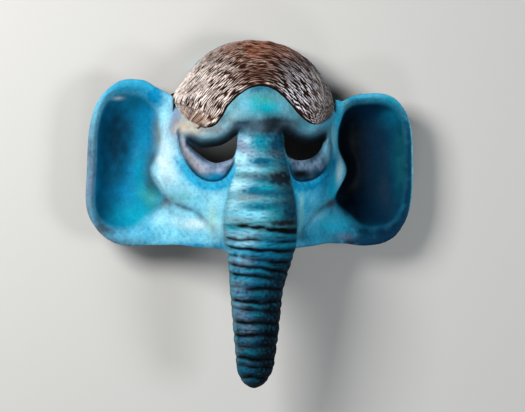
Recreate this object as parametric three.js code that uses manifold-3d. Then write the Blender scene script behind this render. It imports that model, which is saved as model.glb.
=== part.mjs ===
// Elephant half-mask for a wearer's head: a painted shell with deep cupped ears, drooping eyes,
// a raised cap of combed hair and a long wrinkled trunk. It lies on its back, face up.
// Millimetres, +Z up out of the face, +Y towards the crown, +X towards the right-hand ear.
import * as THREE from 'three';
import { mergeVertices } from 'three/addons/utils/BufferGeometryUtils.js';
import Module from 'manifold-3d';

// Driving dimensions, mm
const WALL = 5;
const HEAD = { y: 60, halfWidth: 100.5, cheekGain: 10, cheekY: 50, cheekSpan: 38,
  rise: 132, fall: 167, depth: 118, power: 2.3 };
const EAR = { x: 128, y: 57, halfWidth: 54, halfHeight: 91, fall: 1.04, power: 2.8, rim: 50, cornerX: 170,
  slope: 7, slopeSpan: 26, crown: 2.8, crownX: 150, crownSpan: 20 };
const CUP = { x: 134.5, y: 57, halfWidth: 38.5, halfHeight: 82, floor: 7, sunk: 6, steep: 3.5, slack: 1.7,
  lip: 0.18, lowShift: 3, ridge: 11, ridgeY: 46, ridgeSpan: 18, notch: 7, notchY: 10, notchSpan: 14,
  rightReach: 4.5 };
const SHOULDER = { height: 12, x: 124, span: 28 };
const FLANGE = { rise: 42, outerX: 118, span: 78 };
const EDGE_ROLL = { width: 9, drop: 4 };
const EYE = { x: 50, y: 72, recess: 6, halfWidth: 34, halfHeight: 20, middleY: 67.5, middleBend: 0.013 };
const LID_ROLL = { height: 5.2, crease: 2.4, brow: 4.5, under: 6.5 };
const BRIDGE = { dip: 3, y: 96, span: 7, halfWidth: 26 };
const HAIR = { lift: 3.4, undercut: 1, locks: 4, lockDepth: 2 };
const EYE_CUT = { bottom: 30, top: 150 };
const UNEVEN = { earDrop: 17, earSpan: 98.8, from: 84, to: 104, earOut: 4.4, earSag: 2.2,
  leftBelly: 6, rightBelly: 1.5, face: 4.2, crown: 5.8, lean: 5, trunkBend: 6.2 };

// Trunk stations from brow to tip: height y, half-width, most forward point, half-depth
const TRUNK = [
  [124, 17, 109, 12], [104, 22, 115.5, 14], [87, 26, 117.5, 17], [71, 28.5, 121, 22],
  [54, 32.5, 126.5, 28], [32, 37.5, 134.5, 38], [10, 40, 142, 46], [-18, 41, 148, 51],
  [-39, 38, 149.5, 42], [-61, 33.4, 149, 35], [-85, 29.4, 147, 30.5], [-131, 25.2, 139, 25],
  [-160, 22, 130, 21], [-192, 20.5, 116, 18],
];
const TRUNK_FADE = { drop: 16, from: 98, span: 26 };
const TIP = { y: -192, round: 32 };
const FOLDS = [-13.6, -26.8, -35.9, -47.5, -57.4, -66.4, -78.8, -93.7, -102.4, -117.1, -130.9,
  -143, -157.3, -166.2, -179.4];
const FOLD_DEPTH = 2.4;
const FOLD_TILT = 3.4;

// Outlines of the eye holes and of the bags under them, left and right, clockwise, [x, y]
const EYE_HOLES = [
  [[-73, 77.9], [-62.6, 73.7], [-52.6, 74.2], [-43.4, 76.1], [-34.5, 81.2], [-26.4, 87.2], [-26.1, 81.2],
    [-27.1, 72.5], [-30.9, 63.1], [-39.9, 58.9], [-48.1, 57.1], [-54.8, 59.7], [-61.8, 65.5],
    [-68.3, 71.5]],
  [[27, 89], [34.5, 85.2], [42.7, 80.7], [52.1, 77.9], [63.1, 78.4], [75.6, 81.8], [74.2, 76.7],
    [68.7, 69.1], [60.2, 62.8], [48.1, 59.5], [37.5, 60.4], [29.5, 64.7], [26.2, 72.4], [26, 82.1]],
];
const BAGS = [
  [[-83.8, 94.9], [-55, 84], [-28.5, 95.8], [-25.5, 84.7], [-27, 71.5], [-30.9, 57.4], [-34, 49.7],
    [-38.7, 42.5], [-45.5, 37.8], [-54.7, 37], [-63.8, 41.2], [-71.7, 49.3], [-77, 57.9], [-81.3, 68.7],
    [-83.6, 81.8]],
  [[26.8, 95.5], [55, 86], [87.3, 100.8], [88.9, 86.6], [88.7, 69.7], [85, 58.9], [76.8, 49.3],
    [64.8, 40.9], [52.7, 36.5], [41, 36.6], [34.5, 41], [31.1, 49.4], [28.7, 58.1], [25.8, 71.3],
    [24.5, 84.5]],
];
const CHEEK_CREASE = [[95, 13.5], [87, 11], [79, 8.4], [65.5, 1.7], [56, -8.5], [48, -18], [42.5, -29.5],
  [40, -37]];

// Hairline from the left temple over the forehead to the right temple, [x, y]
const HAIRLINE = [[-92, 124], [-88.5, 115], [-81, 105], [-71.5, 99.7], [-61, 97], [-54, 95.8], [-48.5, 99],
  [-43.9, 106.6], [-37.8, 117], [-31, 125.5], [-23, 132.5], [-13.5, 138], [-2, 140.6], [7, 139.9],
  [15, 136.3], [23.5, 129.3], [31.5, 120.3], [42, 107.8], [54, 100.3], [64, 96.8], [75, 99], [85, 104.5],
  [91, 115], [92, 124]];

const GRID = { columns: 58, rows: 50, backColumns: 24, backRows: 20 };
const TUBE = { sides: 20, rings: 46, mouth: { front: -16, back: -44 } };
const CORE = { sides: 12, rings: 12, mouth: { front: 20, back: -20 } };
const TUCK = 1.6;

const clamp = (t) => Math.min(1, Math.max(0, t));
const ease = (t) => clamp(t) ** 2 * (3 - 2 * clamp(t));
const bell = (t) => Math.exp(-t * t);
const mix = (a, b, t) => a + (b - a) * t;

// The larger of a and b, rounded over a difference of k.
function softMax(a, b, k) {
  return Math.max(a, b) + (k > 0 ? Math.max(k - Math.abs(a - b), 0) ** 2 / (4 * k) : 0);
}

// Positions from 0 to 1 that crowd together where the density is high.
function spread(count, density) {
  const steps = 400;
  const sum = [0];
  for (let i = 0; i < steps; i += 1) sum.push(sum[i] + density((i + 0.5) / steps));
  return [...Array(count + 1).keys()].map((n) => {
    const target = (sum[steps] * n) / count;
    const i = Math.max(sum.findIndex((total) => total >= target - 1e-9), 1);
    return (i - (sum[i] - target) / (sum[i] - sum[i - 1])) / steps;
  });
}

function smoothCurve(points, closed, steps) {
  const knots = points.map(([x, y]) => new THREE.Vector3(x, y, 0));
  return new THREE.CatmullRomCurve3(knots, closed, 'centripetal').getPoints(steps);
}

// Distance from (x, y) to a polyline, negative on its right-hand side. The nearest segment decides, and at
// a shared corner the one the point lies further off.
function signedDistance(line, x, y) {
  let best = Infinity;
  let side = 0;
  for (let i = 1; i < line.length; i += 1) {
    const a = line[i - 1];
    const dx = line[i].x - a.x;
    const dy = line[i].y - a.y;
    const t = clamp(((x - a.x) * dx + (y - a.y) * dy) / (dx * dx + dy * dy));
    const gap = Math.hypot(x - a.x - t * dx, y - a.y - t * dy);
    const off = (dx * (y - a.y) - dy * (x - a.x)) / Math.hypot(dx, dy);
    if (gap < best - 1e-6 || (gap < best + 1e-6 && Math.abs(off) > Math.abs(side))) side = off;
    best = Math.min(best, gap);
  }
  return side < 0 ? -best : best;
}

const eyeLines = EYE_HOLES.map((outline) => smoothCurve(outline, true, 46));
const bagLines = BAGS.map((outline) => smoothCurve(outline, true, 52));
const creaseLine = smoothCurve(CHEEK_CREASE, false, 24);
const hairLine = smoothCurve(HAIRLINE, false, 69);

// Half-width, half-depth and centre height of the trunk at y, on a smooth curve through its stations.
function trunkAt(y) {
  let i = 1;
  while (i < TRUNK.length - 1 && TRUNK[i][0] > y) i += 1;
  const p = [TRUNK[Math.max(i - 2, 0)], TRUNK[i - 1], TRUNK[i], TRUNK[Math.min(i + 1, TRUNK.length - 1)]];
  const t = clamp((p[1][0] - y) / (p[1][0] - p[2][0]));
  const spline = (k) => {
    const slope = (a, b) => ((b[k] - a[k]) / (b[0] - a[0])) * (p[2][0] - p[1][0]);
    const m1 = slope(p[0], p[2]);
    const m2 = slope(p[1], p[3]);
    return (2 * t ** 3 - 3 * t ** 2 + 1) * p[1][k] + (t ** 3 - 2 * t ** 2 + t) * m1
      + (3 * t ** 2 - 2 * t ** 3) * p[2][k] + (t ** 3 - t ** 2) * m2;
  };
  const past = clamp((TIP.y + TIP.round - y) / TIP.round);
  const round = Math.sqrt(Math.max(1 - past * past, 0));
  const halfDepth = spline(3);
  return { halfWidth: spline(1) * round, halfDepth: halfDepth * round, z: spline(2) - halfDepth };
}

// Puffed skin between the folds: 0 in each fold, 1 midway to the next. The folds fall towards the right.
function foldHeight(y, across) {
  const line = y + across * (0.4 + FOLD_TILT * ease((y + 110) / 60)) * ease((18 - y) / 30);
  if (line > FOLDS[0] + 12 || line < FOLDS[FOLDS.length - 1] - 12) return 1;
  const edges = [FOLDS[0] + 14, ...FOLDS, FOLDS[FOLDS.length - 1] - 14];
  const i = edges.findIndex((e) => e < line);
  const t = (edges[i - 1] - line) / (edges[i - 1] - edges[i]);
  return Math.sqrt(Math.sin(Math.PI * clamp(t)));
}

// Front surface of the trunk as a height over the face, or -Infinity beside it.
function trunkRidge(sx, y, inset) {
  if (y > TRUNK[0][0]) return -Infinity;
  const s = trunkAt(y);
  const across = sx / Math.max(s.halfWidth - inset, 0.1);
  if (Math.abs(across) >= 1) return -Infinity;
  const fold = FOLD_DEPTH * (foldHeight(y, across) - 1) * ease((FOLDS[0] + 16 - y) / 14);
  const fade = TRUNK_FADE.drop * ease((y - TRUNK_FADE.from) / TRUNK_FADE.span) ** 2;
  return s.z - fade + (s.halfDepth - inset + fold) * Math.sqrt(1 - across * across);
}

// The head is a superellipsoid, wider at the cheeks, cut off flat at z = 0.
function headHeight(x, y, wall) {
  const half = HEAD.halfWidth + HEAD.cheekGain * bell((y - HEAD.cheekY) / HEAD.cheekSpan) - wall;
  const up = y > HEAD.y ? (y - HEAD.y) / (HEAD.rise - wall) : (HEAD.y - y) / HEAD.fall;
  const left = 1 - (x / half) ** HEAD.power - up ** HEAD.power;
  return (HEAD.depth - wall) * Math.max(left, 0) ** (1 / HEAD.power);
}

// Share of the ear cup's depth: 1 on its floor, 0 outside its mouth. The cheek pushes the inner side of the
// mouth outwards, below the cheek the slope is gentle, and the right cup leaves a thinner rim.
function cupShare(sx, y, grow) {
  const x = Math.abs(sx);
  const cheek = CUP.ridge * bell((y - CUP.ridgeY) / CUP.ridgeSpan)
    - CUP.notch * bell((y - CUP.notchY) / CUP.notchSpan);
  const middle = CUP.x + CUP.lowShift * ease((20 - y) / 45) + cheek * (1 - ease((x - 112) / 40));
  const reach = sx > 0 ? CUP.rightReach * ease((x - CUP.x) / 20) : 0;
  const across = Math.abs(x - middle) / (CUP.halfWidth + reach + grow);
  const along = Math.abs(y - CUP.y) / (CUP.halfHeight + grow);
  const radius = (across ** EAR.power + along ** EAR.power) ** (1 / EAR.power);
  const slack = CUP.slack * ease((28 - y) / 28) * ease((140 - x) / 26);
  const share = 1 - radius ** (CUP.steep - slack);
  return Math.min(1, (share + Math.hypot(share, CUP.lip)) / 2);
}

// Ear plate with a shoulder beside the cheek, and the jaw flange, before the cup is pressed in.
function flangeHeight(x, y) {
  const shoulder = SHOULDER.height * ease((SHOULDER.x - x) / SHOULDER.span) * ease((y - 8) / 30)
    * ease((112 - y) / 30);
  const flange = FLANGE.rise * ease((FLANGE.outerX - x) / FLANGE.span) * (1 - ease((y - 5) / 45));
  return EAR.rim + shoulder + flange;
}

function eyeRecess(x, y) {
  return -EYE.recess * bell((x - EYE.x) / EYE.halfWidth) * bell((y - EYE.y) / EYE.halfHeight);
}

// Bag of skin between its crease and the eye hole, and a brow that rolls under above the hole.
function eyeRelief(sx, y) {
  const side = sx < 0 ? 0 : 1;
  const lid = -signedDistance(bagLines[side], sx, y);
  const hole = Math.max(signedDistance(eyeLines[side], sx, y), 0);
  const round = Math.sin(Math.PI * clamp(lid / (lid + hole + 0.01))) ** 0.9;
  const bag = (LID_ROLL.height * round - LID_ROLL.crease) * ease((lid + hole) / 6);
  const outside = -LID_ROLL.crease * bell(lid / 3.2) * ease((lid + hole) / 4);
  const brow = LID_ROLL.brow * bell((hole - 14) / 8) - LID_ROLL.under * ease(1 - hole / 11);
  const middle = EYE.middleY + EYE.middleBend * (Math.abs(sx) - 48) ** 2;
  return mix(lid > 0 ? bag : outside, brow, ease((y - middle) / (5 + 0.6 * Math.min(hole, 20))));
}

function cheekRelief(x, y) {
  const crease = signedDistance(creaseLine, x, y);
  return 4 * bell((x - 74) / 20) * bell((y - 32) / 20) - 2.4 * bell(crease / 4.5);
}

// Outline of the shell seen from the front: top edge, bottom edge and outer edge.
const superRoot = (t, power) => Math.max(1 - Math.abs(t) ** power, 0) ** (1 / power);
function earReach(x, inset) {
  return (EAR.halfHeight - inset) * superRoot((x - EAR.x) / (EAR.halfWidth - inset), EAR.power);
}

function earTop(x, inset) {
  const crown = EAR.crown * bell((x - EAR.crownX) / EAR.crownSpan);
  return EAR.y + earReach(x, inset) + crown - EAR.slope * ease((EAR.x - x) / EAR.slopeSpan);
}

function topEdge(x, inset) {
  const dome = HEAD.y + (HEAD.rise - inset) * superRoot(x / (HEAD.halfWidth - inset), HEAD.power);
  const ear = x > EAR.x - EAR.halfWidth + inset ? earTop(x, inset) : 0;
  return x > HEAD.halfWidth - inset ? ear : softMax(dome, ear, 4);
}

function bottomEdge(x, inset) {
  const jaw = -36.5 - 23.5 / (1 + (x / 31) ** 8) + 1.5 * bell((x - 84) / 14);
  const ear = EAR.y - EAR.fall * earReach(x, inset);
  return x > EAR.x ? ear : mix(jaw + 0.5 * inset, ear, ease((x - 100) / 28));
}

function sideEdge(y) {
  const along = (y - EAR.y) / (y < EAR.y ? EAR.halfHeight * EAR.fall : EAR.halfHeight);
  return EAR.x + EAR.halfWidth * superRoot(along, EAR.power);
}

function edgeRoll(x, y) {
  const inEar = ease((x - 84) / 12);
  const fromTop = mix(99, topEdge(x, 0) - y, inEar);
  const fromEdge = Math.min(y - bottomEdge(x, 0), fromTop, x > EAR.x ? sideEdge(y) - x : 99);
  const t = clamp(1 - fromEdge / EDGE_ROLL.width);
  return -EDGE_ROLL.drop * (1 - Math.sqrt(1 - t * t));
}

// The hair is a cap laid over the skull, undercut along its edge and combed in locks beside it.
function hairRelief(sx, y) {
  const inside = signedDistance(hairLine, sx, y);
  if (Math.abs(sx) > HEAD.halfWidth) return 0;
  const crown = Math.max(topEdge(Math.abs(sx), 0) - y, 0);
  const lock = Math.cos(2 * Math.PI * HAIR.locks * (inside / (inside + crown + 1)));
  const locks = (HAIR.lockDepth / 2) * (lock - 1) * ease(inside / 8) * ease(crown / 6);
  const cap = HAIR.lift * ease((inside + 2) / 5) * ease(crown / 10);
  return cap + locks - HAIR.undercut * bell((inside + 4) / 4);
}

// How far the ear's plate reaches over the skull: 1 on the ear, 0 on the dome beside it.
function earShare(x, y) {
  const beside = ease((x - 74) / 10) * ease((126 - y) / 14);
  return Math.max(beside, ease((x - 84) / 8) * ease((earTop(x, 0) + 8 - y) / 8));
}

const isLow = (y) => 1 - ease((y - 20) / 40);

function frontHeight(sx, y) {
  const x = Math.abs(sx);
  const share = Math.max(earShare(x, y), isLow(y));
  const plate = flangeHeight(x, y) * share;
  const skin = softMax(headHeight(x, y, 0), plate, 10 * share) + edgeRoll(x, y) * share;
  const cup = cupShare(sx, y, 0) * ease((x - 84) / 8);
  const shaped = mix(skin, CUP.floor, cup) + eyeRecess(x, y) + eyeRelief(sx, y)
    + cheekRelief(x, y) * (1 - cup) + hairRelief(sx, y);
  const dive = 2.2 * ease((-36 - y) / 14);
  const joined = softMax(shaped, trunkRidge(sx, y, dive), mix(6, 12, ease((y - 60) / 30)));
  const bridge = BRIDGE.dip * bell((y - BRIDGE.y) / BRIDGE.span) * bell(sx / BRIDGE.halfWidth);
  return Math.max(joined - bridge, 0);
}

// Inside of the shell. Behind the cup's floor it runs below z = 0 and is cut off there, as a flat foot.
function backHeight(sx, y) {
  const x = Math.abs(sx);
  const share = Math.max(earShare(x, y), isLow(y));
  const plate = (flangeHeight(x, y) - WALL) * share;
  const cupBack = mix(plate, -CUP.sunk, cupShare(sx, y, WALL + 2) * ease((x - 84) / 8));
  const skull = headHeight(x, y, WALL);
  const skin = softMax(skull, cupBack, Math.min(6 * share, skull));
  const back = softMax(skin + eyeRecess(x, y), trunkRidge(sx, y, WALL), 6);
  return Math.max(Math.min(back, frontHeight(sx, y) - 0.8 * WALL), 0);
}

// Made by hand: the right ear stands out further and hangs lower than the left, the eyes and the nose sit a
// little to the right of the middle and the crown a little further, and the trunk leans back to the left.
function handmade([x, y, z]) {
  const side = ease((x - UNEVEN.from) / (UNEVEN.to - UNEVEN.from));
  const outer = ease((Math.abs(x) - 125) / 45);
  const hung = UNEVEN.earDrop * (Math.max(y - 50, 0) / UNEVEN.earSpan) ** 2 * side;
  const lowered = hung * (x > 0 ? 1 - 0.13 * outer : 1)
    + UNEVEN.earSag * ease((30 - y) / 60) * ease((x - 100) / 30);
  const belly = bell(y / 33) * (x > 0 ? UNEVEN.rightBelly : UNEVEN.leftBelly);
  const out = (x > 0 ? UNEVEN.earOut + belly : -belly) * outer;
  const face = UNEVEN.face * (1 - ease(x > 0 ? (x - 62) / 34 : (-x - 35) / 37));
  const crown = UNEVEN.crown * (1 - ease((Math.abs(x) - 90) / 22))
    + UNEVEN.lean * ease((y - 125) / 25) * ease(-x / 50);
  const shift = mix(face, crown, ease((y - 92) / 22)) - UNEVEN.trunkBend * ease((-30 - y) / 60);
  return [x + shift + out, y - lowered, z];
}

// A grid over the outline: columns crowd over the eyes, rows crowd at the eyes and the crown.
function faceGrid(columns, rows, inset, height) {
  const across = spread(columns, (t) => 0.45 + 1.1 * bell((Math.abs(2 * t - 1) - 0.3) / 0.22));
  const along = spread(rows, (t) => 0.5 + bell((t - 0.5) / 0.16) + 0.4 * bell((t - 0.75) / 0.1)
    + 2.5 * bell((1 - t) / 0.07));
  const grid = [];
  for (const v of along) {
    const earY = mix(bottomEdge(EAR.cornerX, 0), topEdge(EAR.cornerX, 0), v);
    const widen = sideEdge(earY) / EAR.cornerX;
    for (const t of across) {
      const column = EAR.cornerX * (2 * t - 1);
      const x = Math.abs(column);
      const y = mix(bottomEdge(x, inset), topEdge(x, inset), v);
      const pull = 1 - (inset * widen) / EAR.cornerX;
      const sx = column * widen * pull;
      grid.push([sx, y, height(sx, y)]);
    }
  }
  return grid.map(handmade);
}

function geometrySolid(geometry, wasm) {
  geometry.deleteAttribute('normal');
  geometry.deleteAttribute('uv');
  const merged = mergeVertices(geometry, 1e-3);
  const vertProperties = merged.attributes.position.array;
  const mesh = new wasm.Mesh({ numProp: 3, vertProperties, triVerts: new Uint32Array(merged.index.array) });
  return new wasm.Manifold(mesh);
}

function solidFrom(vertices, faces, wasm) {
  const geometry = new THREE.BufferGeometry();
  geometry.setAttribute('position', new THREE.Float32BufferAttribute(vertices.flat(), 3));
  geometry.setIndex(faces.flat());
  return geometrySolid(geometry, wasm);
}

const quad = (a, b, c, d) => [[a, b, c], [a, c, d]];

// Two triangles for each cell of the grid, split along the flatter diagonal so that creases stay clean.
function gridFaces(grid, columns, rows, start, flip) {
  const faces = [];
  for (let i = 0; i < rows; i += 1) {
    for (let j = 0; j < columns; j += 1) {
      const a = i * (columns + 1) + j;
      const corners = [a, a + 1, a + columns + 2, a + columns + 1];
      const step = (p, q) => Math.abs(grid[corners[p]][2] - grid[corners[q]][2]);
      if (step(1, 3) < step(0, 2)) corners.push(corners.shift());
      const placed = corners.map((k) => start + k);
      faces.push(...quad(...(flip ? placed.reverse() : placed)));
    }
  }
  return faces;
}

// Border vertices of a grid in order, counterclockwise from its lower left corner.
function borderOf(columns, rows, start) {
  const at = (i, j) => start + i * (columns + 1) + j;
  const ring = [];
  for (let j = 0; j < columns; j += 1) ring.push(at(0, j));
  for (let i = 0; i < rows; i += 1) ring.push(at(i, columns));
  for (let j = columns; j > 0; j -= 1) ring.push(at(rows, j));
  for (let i = rows; i > 0; i -= 1) ring.push(at(i, 0));
  return ring;
}

// Closes the gap between two borders of different lengths, walking both at the same pace.
function rimFaces(outer, inner) {
  const faces = [];
  let i = 0;
  let k = 0;
  while (i < outer.length || k < inner.length) {
    const a = outer[i % outer.length];
    const b = inner[k % inner.length];
    if (k >= inner.length || (i < outer.length && (i + 0.5) / outer.length <= (k + 0.5) / inner.length)) {
      i += 1;
      faces.push([a, b, outer[i % outer.length]]);
    } else {
      k += 1;
      faces.push([a, b, inner[k % inner.length]]);
    }
  }
  return faces;
}

function makeShell(wasm) {
  const { columns, rows, backColumns, backRows } = GRID;
  const front = faceGrid(columns, rows, 0, frontHeight);
  const back = faceGrid(backColumns, backRows, 0.8 * WALL, backHeight);
  const faces = [
    ...gridFaces(front, columns, rows, 0, false),
    ...gridFaces(back, backColumns, backRows, front.length, true),
    ...rimFaces(borderOf(columns, rows, 0), borderOf(backColumns, backRows, front.length)),
  ];
  return solidFrom([...front, ...back], faces, wasm);
}

// Closed tube along the trunk, sunk by inset under the skin, from the tip up to a slanted mouth.
function makeTube(wasm, inset, mouth, sides, rings) {
  const points = [];
  for (let i = 0; i <= rings; i += 1) {
    for (let j = 0; j < sides; j += 1) {
      const angle = (2 * Math.PI * j) / sides;
      const front = (1 + Math.cos(angle)) / 2;
      const y = mix(TIP.y + inset, mix(mouth.back, mouth.front, front), (i / rings) ** 1.15);
      const s = trunkAt(y - inset * (1 - i / rings));
      const folded = inset ? 0 : FOLD_DEPTH * (foldHeight(y, Math.sin(angle)) - 1);
      const fold = folded * mix(0.3, 1, ease(2 * front - 0.3));
      const under = fold - inset - TUCK * ease((y + 48) / 12);
      const wide = Math.max(s.halfWidth + under, 0.4);
      const deep = Math.max(s.halfDepth + under, 0.4);
      points.push([wide * Math.sin(angle), y, s.z + deep * Math.cos(angle)]);
    }
  }
  const faces = [];
  for (let i = 0; i < rings; i += 1) {
    for (let j = 0; j < sides; j += 1) {
      const a = i * sides + j;
      const b = i * sides + ((j + 1) % sides);
      faces.push(...quad(a, b, b + sides, a + sides));
    }
  }
  const last = rings * sides;
  for (let j = 1; j < sides - 1; j += 1) {
    faces.push([0, j + 1, j], [last, last + j, last + j + 1]);
  }
  return solidFrom(points.map(handmade), faces, wasm);
}

// Upright prism through the face at an eye hole.
function makeEyePrism(wasm, line) {
  const ring = line.slice(1).map((p) => handmade([p.x, p.y, 0]));
  const shape = new THREE.Shape(ring.map(([x, y]) => new THREE.Vector2(x, y)));
  const depth = EYE_CUT.top - EYE_CUT.bottom;
  const prism = new THREE.ExtrudeGeometry(shape, { depth, bevelEnabled: false, steps: 1 });
  prism.translate(0, 0, EYE_CUT.bottom);
  return geometrySolid(prism, wasm);
}

async function makeMask() {
  const wasm = await Module();
  wasm.setup();
  const trunk = makeTube(wasm, 0, TUBE.mouth, TUBE.sides, TUBE.rings);
  const core = makeTube(wasm, WALL, CORE.mouth, CORE.sides, CORE.rings);
  const solid = makeShell(wasm).add(trunk).subtract(core)
    .subtract(makeEyePrism(wasm, eyeLines[0])).subtract(makeEyePrism(wasm, eyeLines[1]));
  const { vertProperties, triVerts } = solid.getMesh();
  const geometry = new THREE.BufferGeometry();
  geometry.setAttribute('position', new THREE.BufferAttribute(vertProperties, 3));
  geometry.setIndex(new THREE.BufferAttribute(triVerts, 1));
  geometry.computeVertexNormals();
  const paint = new THREE.MeshStandardMaterial({ color: 0x6fb0c4, roughness: 0.5, metalness: 0 });
  const mesh = new THREE.Mesh(geometry, paint);
  mesh.name = 'elephant_mask';
  return mesh;
}

const mask = new THREE.Group();
mask.add(await makeMask());

export default mask;
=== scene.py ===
"""Elephant half-mask: a painted shell with cupped ears, drooping eyes, combed hair and a wrinkled trunk.

The shell, the trunk and the hair are worked out in millimetres, face up, and put into metres at the end.
x runs towards the right-hand ear, y towards the crown and z out of the face. Both sides come from one
mould, so most functions take x without its sign, and sx keeps the sign where the two sides differ.
"""
import math

import bpy
import numpy as np
from mathutils import Matrix


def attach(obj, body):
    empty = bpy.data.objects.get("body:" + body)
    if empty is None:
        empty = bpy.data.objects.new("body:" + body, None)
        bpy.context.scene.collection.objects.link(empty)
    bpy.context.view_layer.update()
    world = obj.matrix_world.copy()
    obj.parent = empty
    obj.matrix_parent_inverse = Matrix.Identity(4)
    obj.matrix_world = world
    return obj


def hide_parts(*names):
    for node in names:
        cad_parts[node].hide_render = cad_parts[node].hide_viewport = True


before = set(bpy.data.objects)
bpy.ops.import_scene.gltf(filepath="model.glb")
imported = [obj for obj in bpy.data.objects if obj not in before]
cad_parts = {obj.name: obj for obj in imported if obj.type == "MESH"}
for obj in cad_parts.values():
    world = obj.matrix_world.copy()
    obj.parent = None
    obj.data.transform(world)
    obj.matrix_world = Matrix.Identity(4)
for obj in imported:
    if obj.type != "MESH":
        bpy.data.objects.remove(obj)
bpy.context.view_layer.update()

MM = 0.001
NODE = "elephant_mask"

# Wall: its thickness, where its inner edge starts, and the roundings of its edge and of the ears' rims
WALL = 5.0
INNER_EDGE = 0.8 * WALL
RIM_BULGE, RIM_RINGS = 1.5, 6
RIM_ROLL_WIDTH, RIM_ROLL_FALL = 9.0, 4.0
# Stands for the distance to an edge where none is near
FAR_OFF = 99.0

# Head: middle, half-width, depth, power of its curve, reach to crown and chin, and its cut under the hair
HEAD_Y, HEAD_HALF_WIDTH, HEAD_DEPTH, HEAD_POWER = 60.0, 100.5, 118.0, 2.3
HEAD_RISE, HEAD_FALL, HAIR_SEAT = 132.0, 167.0, 2.2
# Cheeks: how they widen the head, their puff, and the crease under them with a fine line in it
CHEEK_GAIN, CHEEK_Y, CHEEK_SPAN = 10.0, 50.0, 38.0
CHEEK_PUFF, CHEEK_PUFF_X, CHEEK_PUFF_Y, CHEEK_PUFF_SPAN = 4.0, 74.0, 32.0, 20.0
CREASE_DEPTH, CREASE_SPAN, CREASE_LINE, CREASE_LINE_SPAN = 2.2, 4.5, 0.4, 1.4
# Jaw line with the chin behind the trunk, and the dip over the bridge of the nose
JAW_Y, CHIN_DROP, CHIN_HALF_WIDTH = -36.5, 23.5, 31.0
JAW_LIFT, JAW_LIFT_X, JAW_LIFT_SPAN = 1.5, 84.0, 14.0
BRIDGE_DIP, BRIDGE_Y, BRIDGE_SPAN, BRIDGE_HALF_WIDTH = 3.0, 96.0, 7.0, 26.0

# Ears: where they grow out of the head, their outline from the front, and the plate that joins them on
EAR_ROOT_X, EAR_ROOT_SPAN = 84.0, 8.0
EAR_X, EAR_Y, EAR_HALF_WIDTH, EAR_HALF_HEIGHT, EAR_POWER = 128.0, 57.0, 54.0, 91.0, 2.8
EAR_RIM, EAR_CORNER_X, EAR_FALL = 50.0, 170.0, 1.04
EAR_SLOPE, EAR_SLOPE_SPAN = 7.0, 26.0
EAR_CROWN, EAR_CROWN_X, EAR_CROWN_SPAN = 2.8, 150.0, 20.0
SHOULDER, SHOULDER_X, SHOULDER_SPAN = 12.0, 124.0, 28.0
FLANGE_RISE, FLANGE_OUTER_X, FLANGE_SPAN = 42.0, 118.0, 78.0
# Roundings, in mm, where head and ear meet in the outline, on the skin and inside
OUTLINE_BLEND, EAR_BLEND, INSIDE_BLEND = 4.0, 10.0, 6.0

# Cups of the ears: mouth, floor, slope and lip, and how the cheek and the notch below it shift them
CUP_X, CUP_HALF_WIDTH, CUP_HALF_HEIGHT, CUP_FLOOR, CUP_SUNK = 134.5, 38.5, 82.0, 7.0, 6.0
CUP_STEEP, CUP_SLACK, CUP_LIP, CUP_LOW_SHIFT, RIGHT_CUP_REACH = 3.5, 1.7, 0.18, 3.0, 4.5
CUP_RIDGE, CUP_RIDGE_Y, CUP_RIDGE_SPAN = 11.0, 46.0, 18.0
CUP_NOTCH, CUP_NOTCH_Y, CUP_NOTCH_SPAN = 7.0, 10.0, 14.0

# Eyes: sunk area, line between bag and brow, heights of bag, crease and brow, and the cutters' two ends
EYE_X, EYE_Y, EYE_RECESS, EYE_HALF_WIDTH, EYE_HALF_HEIGHT = 50.0, 72.0, 6.0, 34.0, 20.0
EYE_MIDDLE_X, EYE_MIDDLE_Y, EYE_MIDDLE_BEND = 48.0, 67.5, 0.013
LID_HEIGHT, LID_CREASE, LID_CREASE_SPAN, LID_LINE, LID_LINE_SPAN = 5.6, 2.6, 2.8, 0.3, 1.0
BROW_HEIGHT, BROW_OFFSET, BROW_SPAN, BROW_UNDER, BROW_UNDER_SPAN = 4.5, 14.0, 8.0, 6.5, 11.0
CUT_LOW, CUT_HIGH = 25.0, 150.0

# How the two sides differ
RIGHT_EAR_DROP, DROP_START_X, DROP_END_X, DROP_START_Y, DROP_RISE = 17.0, 84.0, 104.0, 50.0, 98.8
RIGHT_EAR_OUT, RIGHT_EAR_SAG, LEFT_BELLY, RIGHT_BELLY, BELLY_SPAN = 4.4, 2.2, 6.0, 1.5, 33.0
FACE_SHIFT, CROWN_SHIFT, CROWN_LEAN, TRUNK_BEND = 4.2, 5.8, 5.0, 6.2

# Trunk stations from brow to tip: height y, half-width, most forward point, half-depth
TRUNK = np.array([
    (124, 17, 109, 12), (104, 22, 115.5, 14), (87, 26, 117.5, 17), (71, 28.5, 121, 22),
    (54, 32.5, 126.5, 28), (32, 37.5, 134.5, 38), (10, 40, 142, 46), (-18, 41, 148, 51),
    (-39, 38, 149.5, 42), (-61, 33.4, 149, 35), (-85, 29.4, 147, 30.5), (-131, 25.2, 139, 25),
    (-160, 22, 130, 21), (-192, 20.5, 116, 18),
], float)
TRUNK_TOP, TIP_Y, TIP_ROUND = TRUNK[0, 0], TRUNK[-1, 0], 32.0
# Fading under the brow, dip where the tube takes over, and roundings at the cheeks and at the brow
TRUNK_FADE, TRUNK_FADE_Y, TRUNK_DIP, TRUNK_BLEND = 16.0, 98.0, 2.2, (4.0, 12.0)

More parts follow.
